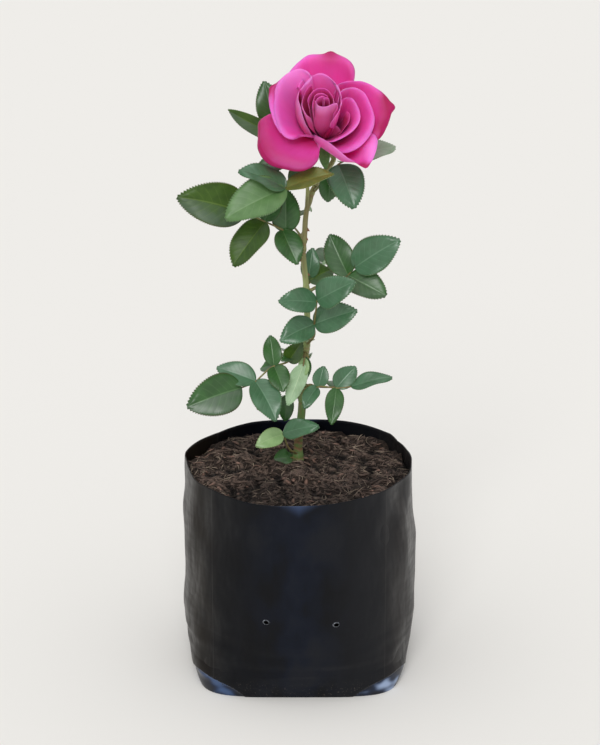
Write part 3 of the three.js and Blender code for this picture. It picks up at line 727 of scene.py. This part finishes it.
CANE_POINTS = [
    [-1, 12, 162.3], [-0.4, 11, 185], [2.3, 9, 208], [3, 7.5, 232], [3.8, 6.5, 247],
    [6, 5, 267], [6.3, 3, 293], [5.5, 2, 315], [3.3, 1, 340], [4.2, 1, 353], [5.9, 1, 374],
    [8, 2, 380], [11, 5, 389.5], [20, 11, 402], [26.5, 15, 411],
    in_bloom([0, 0, -15]), in_bloom([0, 0, -9.3]),
]
SHOOT_POINTS = [[6.1, 1, 374], [6.4, 0, 383], [6.6, -1, 390], [6, 0, 401], [4, 3, 408]]
# Height and depth of the ring scars at the cane's foot
SCARS = ((176, 0.3), (181, 0.25), (185, 0.2), (199, 0.15))
# Height, heading and length of each prickle
PRICKLES = (
    (358.6, 350, 2.6), (351.5, 330, 2.2), (335, 200, 2.8), (322, 20, 2.4), (301, 160, 2.6),
    (284, 340, 2.2), (276, 40, 2.0), (243, 200, 2.6), (236, 30, 2.4), (214, 350, 2.2),
    (205, 120, 2.4), (372, 90, 2.2), (330, 90, 2.4), (262, 110, 2.2), (228, 80, 2.4),
)
cane_curve = route(CANE_POINTS, CANE["stations"])
shoot_curve = route(SHOOT_POINTS, SHOOT["stations"])


def cane_radius(share):
    """Flares at the foot, tapers as share^0.6 up to the fork and evenly from there to the hip."""
    flare = (CANE["foot"] - CANE["low"]) * np.clip(1 - share / 0.06, 0, None) ** 2
    below = np.clip(share / CANE["fork_share"], 0, 1)
    beyond = np.clip((share - CANE["fork_share"]) / (1 - CANE["fork_share"]), 0, 1)
    return flare + mix(CANE["low"], CANE["fork"], below**0.6) + (CANE["neck"] - CANE["fork"]) * beyond


def cane(nodes):
    """The cane's skin: its radius plus, at each leaf's node, a swelling of 0.42 mm and 2.6 mm
    below it a reddish scar line, wavy ring scars at the foot, long shallow ribs and a little
    roughness."""
    share = np.linspace(0, 1, CANE["stations"])[:, None]
    turn = round_turn(CANE["sides"])[None, :]
    height = cane_curve[0][:, 2:3]
    radius = cane_radius(share) + 0 * turn
    ring = 0 * height
    for level in nodes:
        radius = radius + 0.42 * bump(height - level, 2.0) - 0.2 * bump(height - level + 2.6, 0.7)
        ring = ring + 0.5 * bump(height - level + 2.6, 0.8)
    for level, deep in SCARS:
        wavy = level + 0.7 * np.sin(turn * 2 + level)
        radius = radius - deep * bump(height - wavy, 0.7)
        ring = ring + 0.8 * bump(height - wavy, 1.5)
    surface = tube(cane_curve, radius, CANE["sides"])
    ribs, rough = np.sin(5 * turn + 0.05 * height), noise(surface * [1, 1, 0.35], 2.2, 31)
    radius = radius + 0.07 * ribs + 0.12 * rough
    radius[0], radius[-1] = radius[0] * 0.96, radius[-1] * 0.96
    skin = Skin()
    skin.add(tube(cane_curve, radius, CANE["sides"]), tint=np.clip(ring, 0, 0.9) + 0 * turn)
    share = np.linspace(0, 1, SHOOT["stations"])[:, None]
    skin.add(tube(shoot_curve, mix(SHOOT["foot"], SHOOT["tip"], share), SHOOT["sides"]))
    skin.make("cane_and_shoot_bark", "cane_bark", [BARK], "cane", "leafy_shoot")


def prickle(skin, height, heading, long):
    """A hooked cone on the cane: oval rings that shrink along an arc which bends down."""
    station = int(np.argmax(cane_curve[0][:, 2] >= height))
    middle, way = cane_curve[0][station], cane_curve[1][station]
    out = aim(heading, 0)
    out = unit(out - (out @ way) * way)
    side = np.cross(way, out)
    share = np.linspace(0, 1, 9)[:, None]
    tilt = np.radians(-25) * share
    spine = (middle + out * (cane_radius(np.array([station / (CANE["stations"] - 1)])) - 0.4)
             + out * long * share * np.cos(tilt) + way * long * share * np.sin(tilt) * 1.3)
    ring = round_turn(10)[None, :, None]
    size = (1 - share) ** 1.3
    tall, wide = (1.9 * size + 0.08)[:, :, None], (0.8 * size + 0.06)[:, :, None]
    skin.add(spine[:, None] + tall * np.cos(ring) * way + wide * np.sin(ring) * side)


def prickles():
    """All the prickles as one piece."""
    skin = Skin()
    for height, heading, long in PRICKLES:
        prickle(skin, height, heading, long)
    skin.make("cane_prickles", "cane_bark", [PRICKLE])


# Leaves

def blade_half(share, wide):
    """Half a leaflet's width at a share of its length: share^0.56 times (1 - share)^0.82, scaled
    so that it is wide where it is widest, and never less than a narrow foot and tip."""
    base, point = LEAFLET["base"], LEAFLET["point"]
    widest = base / (base + point)
    swell = (share / widest) ** base * ((1 - share) / (1 - widest)) ** point
    return np.maximum(wide / 2 * swell, 0.12 + 0.3 * (share < 0.5))


def blade_lift(share, v, out, wide, fold, swing, phase, twist):
    """How far a leaflet rises off its midrib's arc, at v across it from -1 to 1, which is out mm
    from the midrib. Its halves slope up by fold, swell between the side veins, as 1 less the
    cosine, droop beside the tip and twist towards it; a groove follows the midrib, a bell curve
    0.9 mm wide; and the edge has a slow wave, a sine of 1.4 turns that grows as |v|^3."""
    stripe = (share - VEINS["lean"] * np.abs(v)) * VEINS["count"]
    quilt = 0.006 * wide * (0.5 - 0.5 * np.cos(2 * np.pi * stripe)) * np.abs(v) ** 0.5 * (1 - v**4)
    groove = -0.13 * bump(out, 0.9)
    swings = np.sin(2 * np.pi * 1.4 * share + phase + np.sign(v) * 0.9)
    wave = 0.065 * wide * swing * np.abs(v) ** 3 * swings
    droop = -0.09 * wide * ease(share, 0.6, 1.0) * np.abs(v) ** 2
    return np.abs(out) * np.sin(fold) + quilt + groove + wave + droop + twist * out * share


def leaflet(skin, base, long, wide, along, face, kind, seed, toothed=True, bend=LEAFLET["bend"],
            columns=21):
    """A pointed oval blade, with share along it from 0 to 1 and v across it from -1 to 1. Its
    midrib arches as part of a circle and sweeps to one side as share squared. Its edge has
    forward teeth 1.7 mm apart, each a ramp of three steps. Front and back lie 0.36 mm apart and
    meet round the edge. The upper face's half that faces up is tinted for a painted sky sheen."""
    draw = np.random.default_rng(seed)
    up = unit(face - (face @ along) * along)
    side = np.cross(up, along)
    bend = np.radians(bend)
    fold = np.radians(LEAFLET["fold"] + draw.uniform(-3, 4))
    phase, swing, twist = draw.uniform(0, 2 * np.pi), draw.uniform(0.5, 1), draw.uniform(-0.1, 0.1)
    sweep = draw.uniform(-0.12, 0.12) * long
    teeth = max(6, round(long / LEAFLET["tooth"])) if toothed else 8
    share = np.linspace(0, 1, 3 * teeth + 1)[:, None]
    v = np.linspace(-1, 1, columns)[None, :]
    step = np.arange(3 * teeth + 1)[:, None] % 3
    tooth = np.choose(step, [0.0, 0.5, 1.0]) * 0.026 * wide * ease(share, 0.04, 0.2) * toothed
    reach = np.clip((np.abs(v) - 0.8) / 0.2, 0, 1)
    slope = bend * (0.5 - share)
    arc = long / 2 / np.sin(bend / 2)
    ahead = arc * (np.sin(bend / 2) - np.sin(slope)) + 1.1 * tooth * reach
    rise = arc * (np.cos(slope) - np.cos(bend / 2))
    out = v * blade_half(share, wide) + np.sign(v) * tooth * reach
    lifted = blade_lift(share, v, out, wide, fold, swing, phase, twist)
    normal_up, normal_along = np.cos(slope), -np.sin(slope)
    faces = []
    for way in (1, -1):
        height = lifted + way * LEAFLET["thick"] / 2 * (1 - 0.6 * reach)
        faces.append(base + (ahead + height * normal_along)[..., None] * along
                     + (rise + height * normal_up)[..., None] * up
                     + (out * np.cos(fold) + sweep * share**2)[..., None] * side)
    across = front_and_back((v + 1) / 2, (v + 1) / 2)
    # How much painted sky sheen each place gets: the half of the upper face that faces up
    sky_sheen_half = ease(-np.sign(v) * side[2], 0.1, 0.8) + 0 * share
    sides = np.concatenate([np.full(columns, kind), np.full(columns, 0)])
    skin.add(front_and_back(*faces), across=across, along=share,
             tint=front_and_back(sky_sheen_half, 0 * sky_sheen_half), kind=sides)


# Heading and rise of the face of a blade that is turned towards the viewer
VIEWER = (270, 30)
# A leaf: the limb it grows from and at what height, its stalk's points from there, and its
# leaflets, each with its place along the stalk, its length and width, the heading and rise of its
# midrib, the heading and rise of its face, and its finish.
LEAVES = {
    "leaf_upper_left": ("cane", 343, [[-12, -5, 14], [-30, -15, 26], [-43, -19, 33]], [
        [1, 54, 34, 188, 22, 270, 18, "bright"], [0.72, 42, 26, 216, -48, 250, 25, "bright"],
        [0.72, 26, 18, 60, 50, 270, 15, "mature"], [0.42, 30, 21, 298, -50, 280, 35, "mature"],
        [0.36, 33, 23, 100, 83, 270, 8, "mature"]]),
    "leaf_bloom_left": ("shoot", 394, [[-7, -11, 2], [-17, -25, 3]], [
        [1, 51, 33, 200, -21, 270, 40, "pale"], [0.97, 38, 22, 183, 24, 270, 56, "blue"],
        [0.97, 38, 20, 352, 16, 270, 56, "bronze"], [0.75, 26, 17, 50, 48, 290, 10, "mature"]]),
    "leaf_bloom_behind_left": ("shoot", 403, [[-11, 13, 12], [-24, 19, 31]], [
        [1, 36, 22, 140, 75, 270, 5, "mature"], [0.8, 46, 15, 170, 26, 262, -8, "bright"],
        [0.45, 34, 16, 184, -24, 270, 30, "mature"]]),
    "leaf_bloom_right": ("cane", 387, [[8, -4, 8], [19, -1, 21], [30, 3, 26]], [
        [1, 36, 20, 13, 10, 270, 50, "silver"], [0.72, 38, 29, 297, -49, 280, 30, "blue"],
        [0.45, 20, 16, 300, -76, 270, 15, "mature"], [0.8, 28, 19, 50, -12, 90, 50, "mature"]]),
    "leaf_bloom_behind_right": ("shoot", 406, [[8, 16, 8], [18, 34, 20]], [
        [1, 38, 25, 60, 40, 90, 40, "mature"], [0.7, 32, 21, 130, 30, 90, 40, "bright"],
        [0.7, 32, 21, 15, 10, 60, 40, "mature"]]),
    "leaf_upper_back": ("cane", 350, [[-7, 14, 6], [-15, 36, 8]], [
        [1, 36, 24, 112, 5, 90, 60, "mature"], [0.72, 30, 20, 175, 6, 90, 60, "mature"],
        [0.72, 30, 20, 60, 10, 90, 60, "bright"]]),
    "leaf_middle_right": ("cane", 308, [[14, -5, 8], [31, -7, 15], [37, -8, 22]], [
        [1, 42, 29, 349, 37, 270, 25, "blue"], [0.82, 35, 23, 144, 56, 270, 15, "mature"],
        [0.82, 34, 24, 333, -26, 270, 35, "mature"]]),
    "leaf_middle_back": ("cane", 312, [[2, 8, 4], [9, 26, 8], [14, 42, 8]], [
        [1, 38, 25, 75, 5, 90, 60, "mature"], [0.75, 33, 21, 140, 12, 90, 60, "mature"],
        [0.75, 33, 21, 12, 12, 80, 55, "blue"], [0.2, 25, 15, 75, 73, 270, 0, "blue"],
        [0.14, 24, 20, 33, 20, 270, 40, "bright"]]),
    "leaf_middle_front": ("cane", 265, [[6, -13, 11], [6, -19, 22], [8, -32, 45]], [
        [1, 36, 25, 335, 31, *VIEWER, "blue"], [0.96, 32, 20, 203, 12, *VIEWER, "blue"],
        [0.54, 31, 22, 205, -13, *VIEWER, "blue"], [0.54, 37, 24, 342, 25, *VIEWER, "blue"]]),
    "leaf_lower_left": ("cane", 262, [[-15, -9, -9], [-27, -13, -12], [-41, -18, -23], [-50, -21, -26]], [
        [1, 46, 33, 198, -9, 270, 18, "mature"], [0.8, 33, 20, 170, 15, 270, 40, "blue"],
        [0.81, 37, 24, 312, -39, 280, 40, "blue"], [0.5, 25, 15, 103, 64, 270, 15, "mature"],
        [0.5, 23, 18, 299, -43, 280, 40, "mature"], [0.3, 23, 15, 320, 56, 270, 15, "bright"],
        [0.45, 17, 12, 150, -18, 270, 50, "mature"], [0.2, 13, 9, 215, 0, 270, 50, "mature"]]),
    "leaf_lower_hanging": ("cane", 259, [[-1, -10, -3], [-2, -14, -8]], [
        [0.9, 35, 15, 222, -66, 90, 5, "young"], [0.6, 15, 9, 240, -76, 270, 10, "young"],
        [0.5, 18, 9, 330, -80, 270, 10, "mature"]]),
    "leaf_lower_behind": ("cane", 254, [[-3, 16, -6], [-8, 34, -12]], [
        [1, 33, 22, 105, -5, 90, 60, "mature"], [0.7, 27, 18, 165, -12, 90, 60, "mature"],
        [0.7, 24, 16, 70, -16, 90, 60, "blue"]]),
    "leaf_lower_right": ("cane", 227, [[8, -11, 4], [15, -13, 6], [28, -17, 6], [38, -19, 8]], [
        [1, 33, 16, 351, 12, 270, 60, "blue"], [0.74, 23, 17, 28, 48, 270, 25, "blue"],
        [0.74, 30, 15, 257, -54, 270, 35, "mature"], [0.42, 17, 13, 58, 68, 270, 15, "blue"],
        [0.4, 22, 13, 228, -32, 270, 50, "blue"]]),
    "leaf_low_right_back": ("cane", 230, [[18, 4, -3], [33, 11, -5]], [
        [1, 18, 11, 51, 43, 270, 10, "bright"], [0.9, 12, 9, 120, 62, 270, 10, "bright"],
        [0.75, 24, 16, 80, -5, 90, 60, "mature"]]),
    "leaf_low_left_back": ("cane", 218, [[-11, 2, 3], [-20, 3, -6]], [
        [1, 17, 11, 190, -4, 270, 20, "pale"], [0.5, 22, 13, 206, -78, 270, 10, "mature"],
        [0.8, 22, 15, 100, -10, 90, 60, "mature"]]),
    "leaf_base_front": ("cane", 170, [[-7, -14, 10], [-12, -20, 25]], [
        [1, 31, 17, 346, 19, 270, 45, "blue"], [0.97, 25, 16, 206, -8, 270, 35, "young"]]),
    "leaf_base_left": ("cane", 166, [[-6, -6, 3]], [
        [1, 16, 14, 215, 11, 270, 45, "mature"], [0.8, 9, 6, 190, 30, 270, 30, "mature"]]),
}
LEAF_FINISHES = [UNDER, STALK, *LEAF.values()]
KINDS = {name: LEAF_FINISHES.index(finish) for name, finish in LEAF.items()}


def leaf(name, seed):
    """A compound leaf: a tapering stalk from its limb's middle line, two small wings at its foot
    and its leaflets."""
    limb, height, offsets, leaflets = LEAVES[name]
    places = (cane_curve if limb == "cane" else shoot_curve)[0]
    foot = places[np.argmax(places[:, 2] >= height)]
    curve = route([foot, *(foot + np.array(offsets))], RACHIS["stations"])
    length = np.linalg.norm(np.diff(curve[0], axis=0), axis=1).sum()
    share = np.linspace(0, 1, RACHIS["stations"])[:, None]
    radius = mix(RACHIS["foot"], RACHIS["tip"], share) + 0.7 * bump(share - 0.06, 0.09)
    skin = Skin()
    skin.add(tube(curve, radius, RACHIS["sides"]), kind=1)
    wing_foot = along_route(curve, 2.2 / length)
    ahead = unit(along_route(curve, min(1, 12 / length)) - wing_foot)
    for way in (-1, 1):
        splay = unit(ahead + way * 0.35 * unit(np.cross([0, 0, 1], ahead)))
        leaflet(skin, wing_foot, min(9, 0.6 * length), 2.6, splay, aim(270, 60), 1,
                seed + way + SEEDS["wing"], toothed=False, bend=10, columns=7)
    for k, (at, long, wide, heading, rise, turn, tilt, tone) in enumerate(leaflets):
        leaflet(skin, along_route(curve, at), long, wide, aim(heading, rise), aim(turn, tilt),
                KINDS[tone], seed + k)
    skin.make(name + "_blades", "foliage", LEAF_FINISHES, name)


# Bloom

# A petal: the stretch of the foot's ring that it grows from, in degrees; at its first and last
# rim point, how far it bellies out from the axis, arches along it and folds over behind the rim;
# how far its point is drawn out; its spots, each a rim point, a width and a share that is
# scorched or, below zero, a pale painted highlight; and its rim, as right, up and out of the bloom.
PETALS = {
    "back": ([170, 20], [3, 3], [5, 5], [4, 4], 4, [[6, 9, 1.1], [9, 12, 0.5]], [
        [-36, 24, 24], [-31, 27, 33], [-26, 32, 37], [-21, 39, 39], [-14, 46, 39], [-6, 47, 39],
        [3, 47, 39], [10, 47, 39], [17, 42, 38], [21, 35, 36], [22, 29, 31], [18, 24, 20]]),
    "right": ([75, -50], [3, 3], [7, 7], [4, 2], 3.5, [[7, 9, 1.1], [6, 6, 1.0], [9, 13, 1.3]], [
        [7, 8, 38], [10, 12, 43], [15, 16, 42], [22, 19, 40], [32, 20, 37], [40, 17, 34], [46, 12, 31],
        [49, 4, 29], [49, -5, 28], [46, -14, 26], [41, -22, 23], [31, -20, 16]]),
    "front_right": ([235, 350], [14, 3], [-2, 5], [0, 2], 3, [[5, 6, 1.8], [7, 15, -0.9]], [
        [-8, -4, 7], [-1, -19, 20], [8, -32, 27], [16, -40, 26], [24, -44, 23], [30, -45, 20],
        [35, -43, 21], [39, -36, 25], [40, -25, 26], [32, -3, 20]]),
    "front_left": ([165, 268], [3, 3], [8, 8], [3, 1], 0, [[4, 20, 1.0], [2, 15, 0.8], [7, 26, 0.7]], [
        [-32, 4, 17], [-41, 3, 20], [-49, -2, 19], [-50, -13, 18], [-48, -29, 16], [-41, -39, 14],
        [-27, -44, 13], [-15, -45, 13], [-5, -36, 12], [-4, -21, 10], [-8, -5, 5]]),
    "left_tip": ([115, 215], [3, 3], [5, 5], [2, 2], 2, [[2, 9, 0.9]], [
        [-31, 28, 36], [-36, 18, 39], [-39, 12, 40], [-41, 7, 39], [-41, 0, 37], [-39, -8, 34],
        [-36, -15, 30], [-32, -20, 26]]),
    "left": ([105, 238], [3, 3], [6, 6], [6, 2], 0, [[4, 24, -1.2]], [
        [-19, 12, 35], [-12, 14, 43], [-10, 18, 43], [-14, 25, 42], [-20, 29, 41], [-28, 26, 40],
        [-35, 18, 38], [-38, 7, 36], [-38, -6, 34], [-34, -17, 30], [-29, -23, 26], [-23, -24, 24],
        [-19, -18, 19], [-13, -6, 9]]),
    "right_bowl": ([60, -85], [3, 3], [3, 3], [4, 2], 0, [[2, 12, -0.3]], [
        [10, -1, 38], [12, 5, 44], [20, 11, 42], [29, 9, 40], [35, -2, 38], [38, -12, 35], [35, -24, 31],
        [26, -34, 27], [15, -35, 22], [6, -21, 13]]),
    "right_cup": ([55, -100], [2, 2], [1, 1], [3, 2], 0, [[4, 8, -0.3]], [
        [11, -4, 37], [13, 1, 41], [19, 3, 41], [25, -5, 39], [27, -14, 36], [22, -22, 32], [9, -26, 25],
        [1, -19, 16], [-5, -8, 6]]),
    "back_cup": ([130, -60], [2, 2], [2, 2], [7, 2], 0, [[3, 17, -0.75]], [
        [-21, 18, 32], [-17, 25, 35], [-10, 25, 38], [-4, 25, 40], [3, 19, 42], [10, 7, 44], [13, -4, 43],
        [11, -12, 40], [6, -12, 31], [2, -5, 13]]),
    "left_wrap": ([130, 240], [9, 9], [0, 0], [0.5, 0.5], 0, [], [
        [-15, 5, 36], [-18, 8, 43], [-19, 1, 42], [-17, -7, 38], [-14, -10, 27], [-10, -8, 13],
        [-9, -7, 5]]),
    "left_strip": ([100, 235], [4, 4], [0, 0], [1, 1], 0, [], [
        [-8, 9, 36], [-10, 11, 45], [-14, 4, 45], [-16, -4, 43], [-13, -10, 37], [-10, -8, 30],
        [-8, -5, 18]]),
    "ring": ([215, -30], [2, 2], [0, 0], [0.6, 0.6], 0, [], [
        [-11, -6, 39], [-12, -3, 45], [-8, 4, 47], [-2, 6, 47], [3, 4, 47], [7, -2, 46], [6, -6, 39]]),
    "ring_inner": ([220, 50], [1, 1], [0, 0], [0.3, 0.3], 0, [], [
        [-8, -9, 39], [-8, -6, 45], [-6, 0, 47], [-1, 1, 48], [3, 0, 46]]),
    "bud": ([185, 300], [4.5, 4.5], [0, 0], [0.4, 0.4], 0, [], [
        [-8, -2, 41], [-7, -2, 43], [-4, -8, 44], [1, -10, 45], [7, -7, 45], [10, -6, 44], [7, -8, 35],
        [2, -7, 22], [-2, -4, 9]]),
    "bud_curl": ([190, 60], [0.5, 0.5], [0, 0], [0.2, 0.2], 0, [], [
        [-5, -8, 40], [-6, -5, 45], [-4, -3, 47], [0, -2, 47], [0, -5, 42]]),
    "bud_heart": ([240, -30], [0.5, 0.5], [0, 0], [0.2, 0.2], 0, [], [
        [0, -6, 40], [0, -3, 46], [3, -3, 46], [4, -6, 44]]),
    "cup_fold": ([30, -60], [1.5, 1.5], [0, 0], [0.3, 0.3], 0, [], [
        [15, -2, 27], [17, -2, 31], [20, -7, 32], [19, -11, 29], [13, -11, 18]]),
    "cup_pleat": ([-95, -40], [0.5, 0.5], [0, 0], [0.4, 0.4], 0, [], [
        [3, -6, 12], [6, -6, 18], [9, -7, 20], [12, -8, 15]]),
}
OUTER_PETALS = ("back", "right", "front_right", "front_left", "left_tip", "left", "right_bowl",
                "right_cup", "back_cup")


def petal_surface(row, t, v):
    """The smooth surface through a petal's middle. It spans from its stretch of the foot's ring,
    t = 0, to its rim, t = 1: straight lines, pushed out by belly times sin(pi t) and along the
    axis by arch times sin(pi t^1.3). Behind the rim it rises over a fold, 6.75 s^2 (1 - s) with s
    the outer half of t, so that the rim rolls back. All of these shrink where the lines are
    short; a drawn-out point lies within 4 mm of its first spot."""
    (first, last), belly, arch, fold, drawn, spots, rim = row
    edge = route(rim, v.size)[0]
    turn = np.radians(np.linspace(first, last, v.size))
    foot = np.stack([BLOOM["foot"] * np.cos(turn), BLOOM["foot"] * np.sin(turn), 0.5 + 0 * turn], -1)
    reach = np.linalg.norm(edge - foot, axis=-1)
    share = (reach / reach.max()) ** 0.7
    away = unit(edge * [1, 1, 0] + 1e-6)
    belly, arch, fold = (mix(*pair, ease(v, 0.4, 0.7)) for pair in (belly, arch, fold))
    s = np.clip(2 * t - 1, 0, 1)
    rolled = 6.75 * s**2 * (1 - s) * fold
    middle = (foot + (edge - foot) * t[..., None]
              + away * ((belly * np.sin(np.pi * t) + 0.2 * rolled) * share)[..., None]
              + np.array([0, 0, 1.0]) * ((arch * np.sin(np.pi * t**1.3) + rolled) * share)[..., None])
    if drawn:
        near = np.linalg.norm(middle - np.array(rim[spots[0][0]]), axis=-1)
        middle = middle + away * (drawn * bump(near, 4) * ease(t, 0.7, 1.0))[..., None]
    return middle


def petal_spots(middle, t, spots, rim):
    """The tint of a petal's spots, each a bell curve of its width round its rim point. A scorch is
    strongest right at the rim, and a pale spot, a painted highlight, comes up evenly from the foot."""
    tint = np.zeros(middle.shape[:2])
    for spot, wide, strength in spots:
        near = np.linalg.norm(middle - np.array(rim[spot]), axis=-1)
        spread = ease(t, 0.2, 0.9)
        if strength > 0:
            spread = 0.85 * ease(t, 0.3, 0.95) + 0.6 * ease(t, 0.93, 0.99)
        tint = tint + strength * bump(near, wide) * spread
    return tint


def petal(skin, row, seed, rows=44, columns=61):
    """Adds a petal: its surface waved by noises of 13 and 4.5 mm, with its two faces half its
    thickness to both sides of that, closer together at the thin rim."""
    (first, last), *_, spots, rim = row
    t = np.linspace(0, 1, rows)[:, None]
    v = np.linspace(0, 1, columns)[None, :]
    middle = petal_surface(row, t, v)
    ahead, aside = np.gradient(middle, axis=0), np.gradient(middle, axis=1)
    inward = unit(np.cross(ahead, aside) * np.sign(last - first))
    waves = (0.9 * noise(middle, 13, seed) + 0.35 * noise(middle, 4.5, seed + 1)) * ease(t, 0.4, 1.0)
    middle = middle + inward * waves[..., None]
    thick = BLOOM["thick"] / 2 * (1 - 0.6 * ease(t, 0.8, 1.0))[..., None]
    faces = [in_bloom(middle + way * thick * inward) for way in (1, -1)]
    tint = petal_spots(middle, t, spots, rim)
    sides = np.concatenate([np.zeros(columns, int), np.ones(columns, int)])
    skin.add(front_and_back(*faces), across=front_and_back(v, v), along=t,
             tint=front_and_back(tint, tint), kind=sides)


def bloom():
    """The bloom's petals, as one piece of outer petals and one of the heart's."""
    skins = {"inner": Skin(), "outer": Skin()}
    for k, (name, row) in enumerate(PETALS.items()):
        petal(skins["outer" if name in OUTER_PETALS else "inner"], row, SEEDS["petal"] + 2 * k)
    skins["inner"].make("bloom_inner_petals", "petals", [HEART_FACE, HEART_BACK])
    skins["outer"].make("bloom_outer_petals", "petals", [PETAL_FACE, PETAL_BACK], "bloom")


def hip():
    """The swollen hip is a profile, height and radius, turned round the bloom's axis; five pointed
    sepals leave its top."""
    profile = np.array([
        [-9.2, 1.9], [-8.6, 2.4], [-6.5, 4.2], [-4.6, 5.1], [-3, 5.2], [-1, 4.6], [0.2, 4.4]])
    z = np.linspace(profile[0, 0], profile[-1, 0], 26)
    radius = np.interp(z, profile[:, 0], profile[:, 1])[:, None, None]
    turn = round_turn(24)[None, :, None]
    rings = np.concatenate([radius * np.cos(turn), radius * np.sin(turn), z[:, None, None] + 0 * turn], -1)
    skin = Skin()
    skin.add(in_bloom(rings))
    for k in range(5):
        angle = np.radians(50 + 72 * k)
        out = BLOOM_RIGHT * np.cos(angle) + BLOOM_UP * np.sin(angle)
        way = unit(out - 0.75 * BLOOM_AXIS)
        start = in_bloom([0, 0, -2.2]) + 4 * out
        leaflet(skin, start, SEPAL["long"], SEPAL["wide"], way, BLOOM_AXIS, 0, SEEDS["sepal"] + k,
                toothed=False, bend=30, columns=9)
    skin.make("hip_and_sepals", "calyx", [CALYX], "hip")


grow_bag()
drain_holes()
potting_mix()
for strand_name, (finish_name, light, dark, rough, *sizes) in STRANDS.items():
    strands(strand_name, mix_finish(finish_name, light, dark, 4, rough), *sizes)
cane([height for limb, height, *_ in LEAVES.values() if limb == "cane"])
prickles()
for order, leaf_name in enumerate(LEAVES):
    leaf(leaf_name, SEEDS["leaf"] + 20 * order)
bloom()
hip()

# Floor and light

floor_mesh = bpy.data.meshes.new("floor")
floor_mesh.from_pydata([(-20, -20, 0), (20, -20, 0), (20, 20, 0), (-20, 20, 0)], [], [(0, 1, 2, 3)])
floor_mesh.materials.append(even_finish("Matt pale paper", "#eceae6", 0.9))
floor = bpy.data.objects.new("floor", floor_mesh)
scene.collection.objects.link(floor)

world = bpy.data.worlds.new("studio")
scene.world = world
world.use_nodes = True
backdrop = world.node_tree.nodes["Background"]
backdrop.inputs["Color"].default_value = linear("#fafafa")
# The camera sees a backdrop as pale as the paper; the light from it is softer.
shade = add_node(world.node_tree, "MULTIPLY_ADD", add_node(world.node_tree, "seen"), 0.3, 0.6)
world.node_tree.links.new(shade, backdrop.inputs["Strength"])


def sun(name, towards, strength, spread):
    """A soft distant light that shines along a direction."""
    light = bpy.data.lights.new(name, "SUN")
    light.energy = strength
    light.angle = np.radians(spread)
    lamp = bpy.data.objects.new(name, light)
    lamp.rotation_euler = Vector(towards).to_track_quat("-Z", "Y").to_euler()
    scene.collection.objects.link(lamp)


sun("front", (0.12, 1.0, -0.75), 1.4, 30)
sun("skylight", (0.1, 0.1, -1.0), 0.6, 70)
